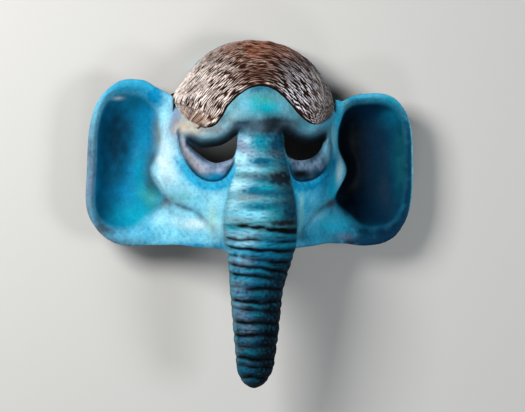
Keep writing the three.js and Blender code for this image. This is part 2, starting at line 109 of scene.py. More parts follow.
# Folds across the trunk, from the brow down: soft ones, then the deep ones, and the depth of each kind
SOFT_FOLDS = (88.0, 74.0, 54.5, 40.0, 24.8, 10.5)
FOLDS = (-13.6, -26.8, -35.9, -47.5, -57.4, -66.4, -78.8, -93.7, -102.4, -117.1, -130.9,
         -143.0, -157.3, -166.2, -179.4)
FOLD_DEPTH, FOLD_PUFF, FOLD_TILT, FOLD_SPAN, END_BAND = 3.0, 0.75, 3.4, 3.4, 11.0
FIRST_FOLD_DEPTH, SOFT_DEPTH, BRANCH_DEPTH, WRINKLE_DEPTH, PIT_DEPTH = 1.3, 1.0, 1.1, 0.55, 0.2

# Tube of the trunk and its hollow: y of their slanted mouths in front and behind, how the rings crowd
# towards the tip, the tuck under the ridge, the share of relief underneath, and the least half-width
TUBE_MOUTH, CORE_MOUTH = (-16.0, -44.0), (20.0, -20.0)
TUBE_CROWDING, TUBE_TUCK, UNDER_RELIEF, SLIM = 1.15, 1.6, 0.45, 0.4

# Outlines of the eyes and of the bags under them, clockwise, the left ones first
EYE_HOLES = (
    [(-73, 77.9), (-62.6, 73.7), (-52.6, 74.2), (-43.4, 76.1), (-34.5, 81.2), (-26.4, 87.2),
     (-26.1, 81.2), (-27.1, 72.5), (-30.9, 63.1), (-39.9, 58.9), (-48.1, 57.1), (-54.8, 59.7),
     (-61.8, 65.5), (-68.3, 71.5)],
    [(27, 89), (34.5, 85.2), (42.7, 80.7), (52.1, 77.9), (63.1, 78.4), (75.6, 81.8), (74.2, 76.7),
     (68.7, 69.1), (60.2, 62.8), (48.1, 59.5), (37.5, 60.4), (29.5, 64.7), (26.2, 72.4), (26, 82.1)],
)
BAGS = (
    [(-83.8, 94.9), (-55, 84), (-28.5, 95.8), (-25.5, 84.7), (-27, 71.5), (-30.9, 57.4), (-34, 49.7),
     (-38.7, 42.5), (-45.5, 37.8), (-54.7, 37), (-63.8, 41.2), (-71.7, 49.3), (-77, 57.9), (-81.3, 68.7),
     (-83.6, 81.8)],
    [(26.8, 95.5), (55, 86), (87.3, 100.8), (88.9, 86.6), (88.7, 69.7), (85, 58.9), (76.8, 49.3),
     (64.8, 40.9), (52.7, 36.5), (41, 36.6), (34.5, 41), (31.1, 49.4), (28.7, 58.1), (25.8, 71.3),
     (24.5, 84.5)],
)
# Crease under the cheek, on the right half
CHEEK_CREASE = [(95, 13.5), (87, 11), (79, 8.4), (65.5, 1.7), (56, -8.5), (48, -18), (42.5, -29.5),
                (40, -37)]

# Hairline from the left temple over the forehead to the right temple
HAIRLINE = [(-92, 124), (-88.5, 115), (-81, 105), (-71.5, 99.7), (-61, 97), (-54, 95.8), (-48.5, 99),
            (-43.9, 106.6), (-37.8, 117), (-31, 125.5), (-23, 132.5), (-13.5, 138), (-2, 140.6),
            (7, 139.9), (15, 136.3), (23.5, 129.3), (31.5, 120.3), (42, 107.8), (54, 100.3), (64, 96.8),
            (75, 99), (85, 104.5), (91, 115), (92, 124)]
# Which of its points are the hair's left and right tips, and the steps of its curve between two points
LEFT_TIP, RIGHT_TIP, HAIRLINE_STEPS = 4, 19, 12

# Hair: lift off the skull, depth of strands and locks, and how its edge and its end at the crown sink in
HAIR_LIFT, HAIR_LIFT_SPAN, STRAND_PITCH, STRAND_DEPTH, LOCK_DEPTH = 3.4, 34.0, 2.2, 1.8, 0.4
HAIR_EDGE_SINK, HAIR_EDGE_SPAN, HAIR_END_MARGIN = 5.2, 3.2, 1.5
HAIR_CROWN_SINK, HAIR_CROWN_SPAN = 3.0, 2.5
# Cap of the hair: its gap to the outline, its bed in the skin, its lowest relief and its thickness
HAIR_INSET, HAIR_BEDDING, HAIR_LOWEST, HAIR_THICKNESS, UNDERSIDE_STEP = 0.3, 1.5, -2.0, 4.6, 8
# Steps along the crown and up a column, how the latter crowd, and where the outermost columns stand
CROWN_STEPS, COLUMN_STEPS, COLUMN_CROWDING, COLUMN_ENDS = 140, 600, 2.6, (0.004, 0.996)

# Columns and rows of the grids
FRONT_GRID, BACK_GRID = (288, 208), (84, 60)
TUBE_GRID, CORE_GRID = (144, 206), (32, 30)
HAIR_GRID = (240, 320)

# Gloss of the paints, from 0 for matt to 1
INSIDE_GLOSS, CUT_GLOSS, HAIR_GLOSS, FACE_GLOSS, TRUNK_GLOSS = 0.05, 0.1, 0.1, 0.3, 0.36
# Half-width in mm at which the trunk's strokes are drawn, and how many leanings are drawn for its rings
STROKE_HALF_WIDTH, RING_DRAWS = 33, 40

# Paints, as screen colours
PAINTS = {
    "snow": "d3ecf3", "frost": "a9dcec", "ice": "6fbfda", "sky": "2b98bf", "cyan": "12aed4",
    "azure": "067fae", "teal": "075e7c", "deep": "043c55", "navy": "04263d", "ink": "040b11",
    "turquoise": "0796ab", "sea": "2f9a8c", "lavender": "7c8aa6", "ash": "6f8288", "slate": "3f5564",
    "grey_teal": "55848f", "smoke": "131f26", "umber": "5d5a58", "beige": "b3a18c", "lime": "a5cf9b",
    "inside": "1b1512", "inside_worn": "3a2f28", "hair_dark": "120c09", "hair_brown": "70402a",
    "hair_rust": "8a4f33", "hair_pale": "e6dad4", "hair_sand": "c4ac92", "hair_grey": "a3a09f",
    "hair_white": "dcdce6",
}

# Soft patches of paint on the face: paint, middle x and y, half-width, half-height and thickness
FACE_PATCHES = (
    # Left cheek
    ("snow", -97, 62, 9, 26, 0.9), ("snow", -92, 42, 9, 12, 0.35), ("frost", -74, 28, 14, 10, 0.3),
    ("frost", -49, 17, 9, 18, 0.4), ("sea", -78, 19, 14, 5, 0.35),
    # Left jaw, and the crease over it
    ("frost", -88, -6, 24, 8, 0.5), ("snow", -66, -11, 15, 6, 0.7), ("lime", -49, -10, 7, 12, 0.15),
    ("frost", -46, -16, 6, 10, 0.4), ("azure", -66, -36, 34, 5, 0.9), ("umber", -95, 12, 11, 7, 0.7),
    # Left temple and brow
    ("frost", -98, 104, 6, 20, 0.4), ("lavender", -87, 104, 6, 26, 1.0), ("beige", -70, 94, 16, 7, 1.6),
    ("snow", -73, 92, 10, 4, 0.35), ("beige", -78, 103, 6, 8, 0.7), ("ash", -50, 94, 15, 6, 1.2),
    ("ash", -38, 101, 9, 7, 0.7),
    # Right cheek, with painted light on its edge over the cup
    ("cyan", 93, 30, 12, 14, 2.0), ("azure", 74, 38, 14, 14, 0.9), ("frost", 99, 47, 5, 15, 1.3),
    # Right temple and brow
    ("cyan", 96, 100, 6, 28, 1.1), ("ice", 92, 86, 6, 14, 1.2), ("grey_teal", 58, 95, 18, 6, 0.8),
    # Right jaw, and the crease over it
    ("ice", 70, -4, 15, 7, 0.7), ("teal", 52, -24, 12, 8, 0.6), ("cyan", 93, -12, 21, 8, 1.4),
    ("navy", 136, -32, 38, 7, 1.4), ("lavender", 108, -28, 11, 4, 0.5), ("slate", 89, 10, 10, 4.5, 1.1),
    # Both sides of the trunk
    ("lime", 45, 10, 3, 30, 0.3), ("lime", -52, -2, 4, 16, 0.25),
    # Forehead
    ("turquoise", -7, 121, 10, 9, 1.0), ("turquoise", 8, 118, 12, 8, 1.1), ("sea", 0, 127, 12, 7, 0.5),
    ("teal", 0, 139, 26, 6, 0.8), ("ice", -19, 121, 8, 12, 0.5), ("frost", -28, 110, 10, 7, 0.3),
    ("ice", 25, 119, 7, 9, 0.3), ("slate", -43, 107, 6, 7, 0.5), ("slate", 40, 106, 7, 7, 0.3),
    ("ice", 60, 94, 12, 4, 0.25),
    # Bridge of the nose, dark with painted shade under the brow
    ("deep", 14, 101, 19, 10, 0.9), ("smoke", 13, 98, 19, 8, 2.0), ("navy", -22, 99, 11, 7, 1.4),
    ("slate", -6, 97, 10, 7, 1.2), ("smoke", 28, 96, 13, 8, 0.9),
    # Last lights on the right brow and jaw
    ("ice", 38, 110, 8, 7, 0.25), ("ice", 94, -10, 16, 6, 0.2),
)
# The same over the lids in painted shade and the brow, with ink as painted shade over the bridge of the
# nose
BROW_PATCHES = (
    ("ice", 88, 86, 5, 9, 0.6), ("ink", 15, 97, 10, 5, 0.6),
)
# The same on the rims of the ears, and inside their cups
RIM_PATCHES = (
    # Left rim
    ("ice", -172, 112, 18, 26, 0.9), ("ash", -186, 50, 13, 60, 0.8), ("slate", -186, 50, 13, 60, 1.3),
    ("lavender", -182, 25, 10, 46, 0.6), ("umber", -178, 6, 8, 12, 0.5),
    ("slate", -166, -18, 20, 14, 1.2), ("slate", -146, -36, 34, 8, 0.8), ("sky", -132, 141, 36, 12, 1.2),
    ("azure", -106, 128, 16, 12, 1.4),
    # Right rim, with a painted highlight along its top
    ("deep", 182, 50, 14, 70, 1.5), ("teal", 168, 114, 14, 24, 0.15), ("ice", 162, 117, 8, 8, 0.25),
    ("ice", 150, 144, 20, 3.5, 0.2), ("grey_teal", 108, 130, 16, 8, 0.6), ("deep", 170, 40, 17, 84, 1.2),
    ("navy", 172, 20, 12, 60, 0.6), ("deep", 140, -20, 24, 14, 1.3), ("navy", 168, -24, 36, 26, 1.3),
    ("deep", 120, 138, 12, 5, 0.4), ("turquoise", 150, 134, 22, 8, 0.6),
)
CUP_PATCHES = (
    # Left cup, deeper blue towards its outer rim, partly painted shade of the rim, and a painted highlight
    # near its top
    ("deep", -146, 84, 22, 46, 1.1), ("navy", -142, 84, 17, 34, 0.35), ("deep", -160, 40, 13, 60, 0.6),
    ("deep", -152, 0, 14, 20, 0.8), ("turquoise", -126, -6, 20, 14, 0.7), ("teal", -126, 122, 28, 9, 0.9),
    ("snow", -147, 127, 7, 2.2, 0.5), ("turquoise", -116, 30, 10, 34, 0.6),
    ("ash", -101, 84, 4.5, 26, 1.0), ("ice", -101, 69, 3, 10, 0.5), ("slate", -107, 41, 7, 24, 1.1),
    ("ice", -104, 14, 6, 6, 0.35), ("sea", -107, 17, 12, 16, 0.5),
    # Right cup, its inner half inky with the head's painted shadow
    ("ink", 116, 60, 22, 80, 1.3), ("navy", 152, 60, 12, 80, 0.8), ("deep", 166, 60, 8, 70, 0.9),
    ("sea", 170, 60, 5, 40, 0.12), ("navy", 140, 128, 26, 10, 0.8), ("teal", 160, 112, 9, 14, 0.8),
    ("deep", 124, -16, 26, 5, 0.7),
)
# The same on the trunk, with x from -1 to 1 across it, and the lighter ones over its rings
# The pale patches on the trunk's left are partly painted light, the deep and smoke ones on its right
# painted shade
TRUNK_PATCHES = (
    # Level with the eyes
    ("lavender", -0.78, 77, 0.3, 11, 1.1), ("frost", -0.6, 83, 0.16, 5, 0.7),
    ("lavender", -0.45, 69, 0.3, 5, 0.9), ("turquoise", -0.02, 80, 0.34, 8, 1.2),
    ("teal", 0.02, 80, 0.4, 9, 0.7), ("deep", 0.62, 76, 0.32, 13, 1.5), ("slate", 0.4, 68, 0.4, 4, 0.8),
    # Level with the bags
    ("frost", -0.75, 60, 0.36, 9, 0.9), ("teal", -0.02, 59.5, 0.42, 4.5, 1.5),
    ("deep", 0.02, 59.5, 0.25, 2.5, 0.5), ("frost", -0.4, 51, 0.5, 4, 0.5),
    ("slate", -0.3, 43.5, 0.7, 3.6, 0.9), ("smoke", 0.55, 40, 0.4, 8, 1.6),
    # Level with the cheeks
    ("frost", -0.75, 32, 0.36, 8, 1.0), ("teal", -0.12, 27.5, 0.46, 5.5, 1.8),
    ("turquoise", 0.1, 31, 0.3, 3, 0.7), ("deep", 0.6, 24, 0.4, 6, 0.6), ("ash", -0.5, 20, 0.4, 3.5, 0.9),
    # Level with the creases
    ("frost", -0.8, 11, 0.3, 6, 0.5), ("turquoise", -0.1, 10, 0.45, 4, 1.0),
    ("teal", -0.15, 10, 0.45, 4, 0.8), ("teal", -0.1, 13, 0.4, 3, 0.5), ("deep", 0.55, 13, 0.4, 6, 0.7),
    # Over the first deep fold
    ("deep", 0.75, 2, 0.35, 10, 1.0), ("ice", -0.55, 1, 0.4, 3.5, 0.9), ("ash", -0.7, -4, 0.4, 4, 0.7),
    ("smoke", 0.5, -7.5, 0.5, 3.5, 1.3),
    # Near the tip, and in the shade of the brow
    ("azure", -0.4, -178, 0.4, 10, 0.5), ("smoke", 0.45, 92, 0.7, 5, 1.2),
    ("navy", -0.5, 93, 0.5, 4, 0.7),
)
# Painted light on the left of the rings
RING_PATCHES = (
    ("frost", -0.55, -27, 0.3, 6, 0.5), ("lavender", -0.5, -122, 0.3, 10, 0.35),
)


def clamp(t):
    """t held between 0 and 1."""
    return np.clip(t, 0, 1)


def rise(t, start, end):
    """Smooth step from 0 at start to 1 at end, which may be the smaller of the two.

    It is three times the square less twice the cube of the share of the way from start to end.
    """
    t = clamp((t - start) / (end - start))
    return t * t * (3 - 2 * t)


def bump(t, middle, half_width):
    """Bell curve: 1 at the middle, e to the minus square of the distance in half-widths."""
    return np.exp(-((t - middle) / half_width) ** 2)


def mix(a, b, t):
    """a where t is 0, b where t is 1, and a straight blend between."""
    return a + (b - a) * t


def soft_max(a, b, k):
    """The larger of a and b, rounded over a difference of k."""
    k = np.maximum(k, 1e-6)
    return np.maximum(a, b) + np.maximum(k - np.abs(a - b), 0) ** 2 / (4 * k)


def super_root(t, power):
    """Height of a superellipse of radius 1 at t: the root of 1 less t to the power."""
    return np.maximum(1 - np.abs(t) ** power, 0) ** (1 / power)


def spread(count, density):
    """Positions from 0 to 1 that crowd together where the density is high."""
    steps = np.linspace(0, 1, 2001)
    total = np.concatenate([[0], np.cumsum(density((steps[1:] + steps[:-1]) / 2))])
    return np.interp(np.linspace(0, total[-1], count + 1), total, steps)


def ripple(x, y, size, seed, waves=12):
    """Even, seeded unevenness of about -1 to 1: a sum of plane waves about size long in all directions."""
    draw = np.random.default_rng(seed)
    total = np.zeros(np.shape(x))
    for _ in range(waves):
        angle, phase = draw.uniform(0, 2 * math.pi, 2)
        length = size * draw.uniform(0.7, 1.5)
        total += np.sin((x * math.cos(angle) + y * math.sin(angle)) * 2 * math.pi / length + phase)
    return total / math.sqrt(2 * waves)


def cubic(t, start, end, start_speed, end_speed):
    """Cubic span from start at t = 0 to end at t = 1 with the given speeds at its ends."""
    return ((2 * t ** 3 - 3 * t ** 2 + 1) * start + (t ** 3 - 2 * t ** 2 + t) * start_speed
            + (3 * t ** 2 - 2 * t ** 3) * end + (t ** 3 - t ** 2) * end_speed)


def smooth_curve(points, closed=False, per_span=6):
    """Centripetal curve through the points: cubic spans whose speeds follow the root of each chord."""
    p = np.array(points, float)
    ends = (p[-1:], p[:2]) if closed else (2 * p[:1] - p[1:2], 2 * p[-1:] - p[-2:-1])
    p = np.vstack([ends[0], p, ends[1]])
    chord = np.sqrt(np.linalg.norm(np.diff(p, axis=0), axis=1))[:, None]
    a, b, c = chord[:-2], chord[1:-1], chord[2:]
    p0, p1, p2, p3 = p[:-3], p[1:-2], p[2:-1], p[3:]
    speed1 = b * ((p1 - p0) / a - (p2 - p0) / (a + b) + (p2 - p1) / b)
    speed2 = b * ((p2 - p1) / b - (p3 - p1) / (b + c) + (p3 - p2) / c)
    t = (np.arange(per_span) / per_span)[None, :, None]
    curve = cubic(t, p1[:, None], p2[:, None], speed1[:, None], speed2[:, None])
    return np.vstack([curve.reshape(-1, 2), p2[-1:]])


def signed_distance(line, x, y):
    """Distance to a polyline, negative on its right-hand side.

    The nearest segment decides, and at a shared corner the one the point lies further off.
    """
    best = np.full(np.shape(x), 1e9)
    side = np.zeros(np.shape(x))
    for (ax, ay), (bx, by) in zip(line[:-1], line[1:]):
        dx, dy = bx - ax, by - ay
        t = clamp(((x - ax) * dx + (y - ay) * dy) / (dx * dx + dy * dy))
        gap = np.hypot(x - ax - t * dx, y - ay - t * dy)
        off = (dx * (y - ay) - dy * (x - ax)) / np.hypot(dx, dy)
        nearer = (gap < best - 1e-6) | ((gap < best + 1e-6) & (np.abs(off) > np.abs(side)))
        side = np.where(nearer, off, side)
        best = np.minimum(gap, best)
    return np.copysign(best, side)


eye_lines = [smooth_curve(outline, closed=True) for outline in EYE_HOLES]
bag_lines = [smooth_curve(outline, closed=True) for outline in BAGS]
crease_line = smooth_curve(CHEEK_CREASE)
hair_line = smooth_curve(HAIRLINE)


# Trunk

def trunk_at(y):
    """Half-width, half-depth and centre height at y: cubic spans through the stations, and a round tip."""
    knots = -TRUNK[:, 0]
    i = np.clip(np.searchsorted(knots, -y, side="left"), 1, len(knots) - 1)
    before, after = np.maximum(i - 2, 0), np.minimum(i + 1, len(knots) - 1)
    width = knots[i] - knots[i - 1]
    t = clamp((-y - knots[i - 1]) / width)

    def value(k):
        """Cubic span of the stations' figure k, whose speeds follow the stations before and after it."""
        v = TRUNK[:, k]
        start_speed = (v[i] - v[before]) / (knots[i] - knots[before]) * width
        end_speed = (v[after] - v[i - 1]) / (knots[after] - knots[i - 1]) * width
        return cubic(t, v[i - 1], v[i], start_speed, end_speed)

    past = clamp((TIP_Y + TIP_ROUND - y) / TIP_ROUND)
    rounding = np.sqrt(np.maximum(1 - past * past, 0))
    half_depth = value(3)
    return value(1) * rounding, half_depth * rounding, value(2) - half_depth


def branch_folds(across, line):
    """Short slanted folds, one between each two long ones: a bell across the fold times a bell along it."""
    total = np.zeros(np.shape(line))
    draw = np.random.default_rng(13)
    for top, bottom in zip(FOLDS[:-1], FOLDS[1:]):
        start, slant, middle = draw.uniform(0.35, 0.65), draw.uniform(-7, 7), draw.uniform(-0.7, 0.7)
        run = line - mix(top, bottom, start) - slant * (across - middle)
        total += bump(run, 0, 1.1) * bump(across, middle, draw.uniform(0.2, 0.4))
    return total


def trunk_skin(across, y):
    """Relief of the trunk's skin in mm, its ink and painted shade, how deep in a soft fold a point is, and
    its place.

    Across runs from -1 to 1 between the trunk's sides, and the place counts the folds above a point.
    Between two folds the skin is puffed up as a power of half a sine. Soft folds further up are plain
    bells, and branches and finer wrinkles run between and along all of them.
    """
    side = np.abs(across)
    wander = 0.9 * np.sin(2.3 * across + y / 9) + 1.1 * ripple(across * 34, y, 26, seed=11)
    tilt = 0.4 + FOLD_TILT * rise(y, -110, -50)
    line = y + (wander + tilt * across) * rise(y, 18, -12)
    first, last = FOLDS[0], FOLDS[-1]
    knots = np.array([-first - END_BAND, *[-fold for fold in FOLDS], -last + END_BAND])
    place = np.interp(-line, knots, np.arange(len(knots)))
    puff = np.abs(np.sin(math.pi * (place - np.floor(place)))) ** FOLD_PUFF
    inside = rise(line, first + 8, first + 2) * rise(line, last - 16, last - 8)
    uneven = 0.9 + 0.25 * np.sin(2.4 * np.round(place) + 1.2) + 0.35 * ripple(across * 30, y, 30, seed=5)
    side_fade = 1 - 0.55 * rise(side, 0.9, 1)
    deep = (1 - puff) * inside * np.clip(uneven, 0.3, 1.2) * side_fade
    broad = bump(line, first, FOLD_SPAN) * (1 - 0.5 * rise(side, 0.85, 1))
    branch = branch_folds(across, line)
    soft = sum(bump(line, fold, FOLD_SPAN + 0.5 * np.sin(fold)) for fold in SOFT_FOLDS)
    soft = soft * (0.75 + 0.35 * ripple(across * 26, y, 34, seed=8))
    low = rise(y, 4, -20)
    wrinkle = bump(ripple(across * 11, y, 7.0, seed=21), 0, 0.3) * (0.6 + 0.4 * low)
    wrinkle += 0.5 * bump(ripple(across * 22, y, 9.0, seed=22), 0, 0.25)
    pits = ripple(across * 30, y, 6.5, seed=23) * (0.5 + 0.5 * low)
    relief = -FOLD_DEPTH * deep - FIRST_FOLD_DEPTH * broad - SOFT_DEPTH * soft - BRANCH_DEPTH * branch
    relief -= WRINKLE_DEPTH * wrinkle * side_fade
    relief += PIT_DEPTH * (pits - 1)
    # Painted shade in the first fold, heavier on the right, and ink in all the folds that is partly painted
    # shade
    shaded = broad * (0.35 + 0.4 * rise(across, -0.3, 0.5) + 0.3 * ripple(across * 30, y * 2, 11, seed=24))
    dimmed = 1 - 0.4 * bump(line, first, 5) * (1 - rise(across, 0, 0.6))
    fold_ink_and_shade = clamp(deep * 1.2 * dimmed + shaded + 0.6 * branch + 0.12 * low * wrinkle)
    return relief, fold_ink_and_shade, clamp(soft), place


def trunk_ridge(x, y, inset, relief):
    """Front of the trunk over the face: half an ellipse across at each y, far below the face beside it."""
    half_width, half_depth, centre = trunk_at(np.minimum(y, TRUNK_TOP))
    across = np.abs(x) / np.maximum(half_width - inset, 0.1)
    height = centre + (half_depth - inset + relief) * np.sqrt(np.maximum(1 - across ** 2, 0))
    height -= TRUNK_FADE * rise(y, TRUNK_FADE_Y, TRUNK_TOP) ** 2
    return np.where((across < 1) & (y <= TRUNK_TOP), height, -1e3)


# Outline of the shell seen from the front

def ear_reach(x, inset):
    """Half-height of the ear's superellipse at x."""
    return (EAR_HALF_HEIGHT - inset) * super_root((x - EAR_X) / (EAR_HALF_WIDTH - inset), EAR_POWER)


def ear_top(x, inset):
    """Upper edge of the ear: its superellipse with a low swelling, sloping down towards the head."""
    swelling = EAR_CROWN * bump(x, EAR_CROWN_X, EAR_CROWN_SPAN)
    return EAR_Y + ear_reach(x, inset) + (swelling - EAR_SLOPE * rise(x, EAR_X, EAR_X - EAR_SLOPE_SPAN))


def top_edge(x, inset):
    """Upper outline: the dome of the head blended into the top of the ear."""
    dome = HEAD_Y + (HEAD_RISE - inset) * super_root(x / (HEAD_HALF_WIDTH - inset), HEAD_POWER)
    ear = np.where(x > EAR_X - EAR_HALF_WIDTH + inset, ear_top(x, inset), 0)
    return np.where(x > HEAD_HALF_WIDTH - inset, ear, soft_max(dome, ear, OUTLINE_BLEND))


def bottom_edge(x, inset):
    """Lower outline: the jaw, lower in the middle behind the trunk, blended into the bottom of the ear."""
    chin = CHIN_DROP / (1 + (x / CHIN_HALF_WIDTH) ** 8)
    jaw = JAW_Y - chin + JAW_LIFT * bump(x, JAW_LIFT_X, JAW_LIFT_SPAN)
    ear = EAR_Y - EAR_FALL * ear_reach(x, inset)
    return np.where(x > EAR_X, ear, mix(jaw + 0.5 * inset, ear, rise(x, 100, EAR_X)))


def side_edge(y):
    """Outer side of the ear: its superellipse solved for x, stretched below the ear's middle."""
    along = (y - EAR_Y) / EAR_HALF_HEIGHT
    return EAR_X + EAR_HALF_WIDTH * super_root(np.where(y < EAR_Y, along / EAR_FALL, along), EAR_POWER)


# Heights over the face

def on_ear(x):
    """0 on the head and 1 on the ear, by a smooth step where the ear grows out."""
    return rise(x, EAR_ROOT_X, EAR_ROOT_X + EAR_ROOT_SPAN)


def head_height(x, y, wall):
    """Superellipsoid of the head, wider at the cheeks."""
    half = HEAD_HALF_WIDTH + CHEEK_GAIN * bump(y, CHEEK_Y, CHEEK_SPAN) - wall
    up = np.where(y > HEAD_Y, (y - HEAD_Y) / (HEAD_RISE - wall), (HEAD_Y - y) / HEAD_FALL)
    left = 1 - (np.abs(x) / half) ** HEAD_POWER - np.abs(up) ** HEAD_POWER
    return (HEAD_DEPTH - wall) * np.maximum(left, 0) ** (1 / HEAD_POWER)


def cup_share(sx, y, grow):
    """Share of the ear cup's depth: 1 on its floor, 0 outside its mouth, by a superellipse's radius.

    The cheek pushes the inner side of the mouth outwards, and below the cheek the slope is a gentle one.
    The right cup reaches further out and leaves a thinner rim.
    """
    x = np.abs(sx)
    ridge = CUP_RIDGE * bump(y, CUP_RIDGE_Y, CUP_RIDGE_SPAN)
    notch = CUP_NOTCH * bump(y, CUP_NOTCH_Y, CUP_NOTCH_SPAN)
    middle = CUP_X + CUP_LOW_SHIFT * rise(y, 20, -25) + (ridge - notch) * (1 - rise(x, 112, 152))
    reach = RIGHT_CUP_REACH * (sx > 0) * rise(x, CUP_X, CUP_X + 20)
    across = np.abs(x - middle) / (CUP_HALF_WIDTH + reach + grow)
    along = np.abs(y - EAR_Y) / (CUP_HALF_HEIGHT + grow)
    radius = (across ** EAR_POWER + along ** EAR_POWER) ** (1 / EAR_POWER)
    share = 1 - radius ** (CUP_STEEP - CUP_SLACK * rise(y, 28, 0) * rise(x, 140, 114))
    return np.minimum(1, (share + np.hypot(share, CUP_LIP)) / 2)


def flange_height(x, y):
    """Ear plate, with a shoulder beside the cheek, and the flange that rises towards the trunk below it."""
    beside_cheek = rise(x, SHOULDER_X, SHOULDER_X - SHOULDER_SPAN) * rise(y, 8, 38) * rise(y, 112, 82)
    inwards = rise(x, FLANGE_OUTER_X, FLANGE_OUTER_X - FLANGE_SPAN)
    return EAR_RIM + SHOULDER * beside_cheek + FLANGE_RISE * inwards * (1 - rise(y, 5, 50))


def ear_share(x, y):
    """How far the ear's plate reaches over the skull: 1 on the ear, 0 on the dome beside it."""
    beside = rise(x, EAR_ROOT_X - 10, EAR_ROOT_X) * rise(y, 126, 112)
    return np.maximum(beside, on_ear(x) * rise(y - ear_top(x, 0), 8, 0))


def is_low(y):
    """1 below the cheeks, where the plate runs across, and 0 above them."""
    return 1 - rise(y, 20, 60)


def eye_recess(x, y):
    """Hollow of the eye sockets: a bell across times a bell along."""
    return -EYE_RECESS * bump(x, EYE_X, EYE_HALF_WIDTH) * bump(y, EYE_Y, EYE_HALF_HEIGHT)


def bag_place(lid, hole):
    """Place on a bag, from 0 at its crease to 1 at the eye opening, by the distances to both."""
    return lid / (lid + hole + 0.01)


def eye_relief(lid, hole, above):
    """Bag as half a sine from its crease to the eye opening, and a bell for the brow that rolls under."""
    roll = LID_HEIGHT * np.sin(math.pi * clamp(bag_place(lid, hole))) ** 0.9
    bag = (roll - LID_CREASE) * rise(lid + hole, 0, 6)
    crease = -LID_CREASE * bump(lid, 0, LID_CREASE_SPAN) - LID_LINE * bump(lid, 0, LID_LINE_SPAN)
    brow = BROW_HEIGHT * bump(hole, BROW_OFFSET, BROW_SPAN) - BROW_UNDER * rise(hole, BROW_UNDER_SPAN, 0)
    return mix(np.where(lid > 0, bag, crease * rise(lid + hole, 0, 4)), brow, above)


def cheek_relief(x, y, crease):
    """Puffed cheek, a bell in x times a bell in y, and the crease under it: a broad bell and a fine one."""
    puff = CHEEK_PUFF * bump(x, CHEEK_PUFF_X, CHEEK_PUFF_SPAN) * bump(y, CHEEK_PUFF_Y, CHEEK_PUFF_SPAN)
    groove = CREASE_DEPTH * bump(crease, 0, CREASE_SPAN)
    return puff - groove - CREASE_LINE * bump(crease, 0, CREASE_LINE_SPAN)


def edge_roll(x, y):
    """Rolled-over rim: a quarter circle over the last stretch before the outline."""
    from_top = mix(FAR_OFF, top_edge(x, 0) - y, rise(x, EAR_ROOT_X, EAR_ROOT_X + 12))
    from_side = np.where(x > EAR_X, side_edge(y) - x, FAR_OFF)
    from_edge = np.minimum(np.minimum(y - bottom_edge(x, 0), from_top), from_side)
    near = clamp(1 - from_edge / RIM_ROLL_WIDTH)
    return -RIM_ROLL_FALL * (1 - np.sqrt(1 - near * near))


def skin_unevenness(x, y):
    """Hand-smoothed papier-mache: long low swellings under short fine ones."""
    long, short, fine = ripple(x, y, 24, seed=31), ripple(x, y, 7, seed=32), ripple(x, y, 3.6, seed=33)
    return 0.35 * long + 0.14 * short + 0.07 * fine


def side_distance(lines, sx, y):
    """Signed distance to the first of two outlines on the left side, to the second on the right."""
    left, right = (signed_distance(line, sx, y) for line in lines)
    return np.where(sx < 0, left, right)


def front_skin(sx, y):
    """Height of the shell's outer skin, and the distances and shares that its paint has to know.

    The head and the ear's plate are blended, the cups are sunk into them, and eyes, cheeks and small
    unevenness are added. The ridge of the trunk is blended over all that.
    """
    x = np.abs(sx)
    share = np.maximum(ear_share(x, y), is_low(y))
    inside_hair = signed_distance(hair_line, sx, y)
    under_hair = rise(inside_hair, 1, 5) * (x < HEAD_HALF_WIDTH)
    skull = head_height(x, y, HAIR_SEAT * under_hair)
    skin = soft_max(skull, flange_height(x, y) * share, EAR_BLEND * share) + edge_roll(x, y) * share
    cup = cup_share(sx, y, 0) * on_ear(x)
    lid = -side_distance(bag_lines, sx, y)
    hole = np.maximum(side_distance(eye_lines, sx, y), 0)
    eye_middle = EYE_MIDDLE_Y + EYE_MIDDLE_BEND * (x - EYE_MIDDLE_X) ** 2
    above = rise(y - eye_middle, 0, 5 + 0.6 * np.minimum(hole, 20))
    crease = signed_distance(crease_line, x, y)
    shaped = mix(skin, CUP_FLOOR, cup) + eye_relief(lid, hole, above)
    shaped += cheek_relief(x, y, crease) * (1 - cup)
    shaped += eye_recess(x, y) + skin_unevenness(sx, y) * (1 - under_hair) * (1 - 0.5 * cup)
    half_width = trunk_at(np.minimum(y, TRUNK_TOP))[0]
    across = np.clip(sx / half_width, -1, 1)
    on_trunk = trunk_skin(across, y)
    ridge = trunk_ridge(x, y, TRUNK_DIP * rise(y, -36, -50), on_trunk[0] * rise(y, 112, 92))
    blend = mix(*TRUNK_BLEND, rise(y, 60, 90))
    bridge = BRIDGE_DIP * bump(y, BRIDGE_Y, BRIDGE_SPAN) * bump(sx, 0, BRIDGE_HALF_WIDTH)
    height = np.maximum(soft_max(shaped, ridge, blend) - bridge, 0)
    masks = {"lid": lid, "hole": hole, "above": above, "crease": crease, "cup": cup, "across": across,
             "half_width": half_width, "ridge": ridge - shaped, "skin": on_trunk}
    return height, masks


def back_height(sx, y):
    """Inside of the shell, a wall's thickness under the skin, flat at z = 0 behind the cupped ears."""
    x = np.abs(sx)
    share = np.maximum(ear_share(x, y), is_low(y))
    plate = (flange_height(x, y) - WALL) * share
    cup_back = mix(plate, -CUP_SUNK, cup_share(sx, y, WALL + 2) * on_ear(x))
    skull = head_height(x, y, WALL)
    skin = soft_max(skull, cup_back, np.minimum(INSIDE_BLEND * share, skull))
    back = soft_max(skin + eye_recess(x, y), trunk_ridge(x, y, WALL, 0), INSIDE_BLEND)
    return np.maximum(np.minimum(back, front_skin(sx, y)[0] - INNER_EDGE), 0)


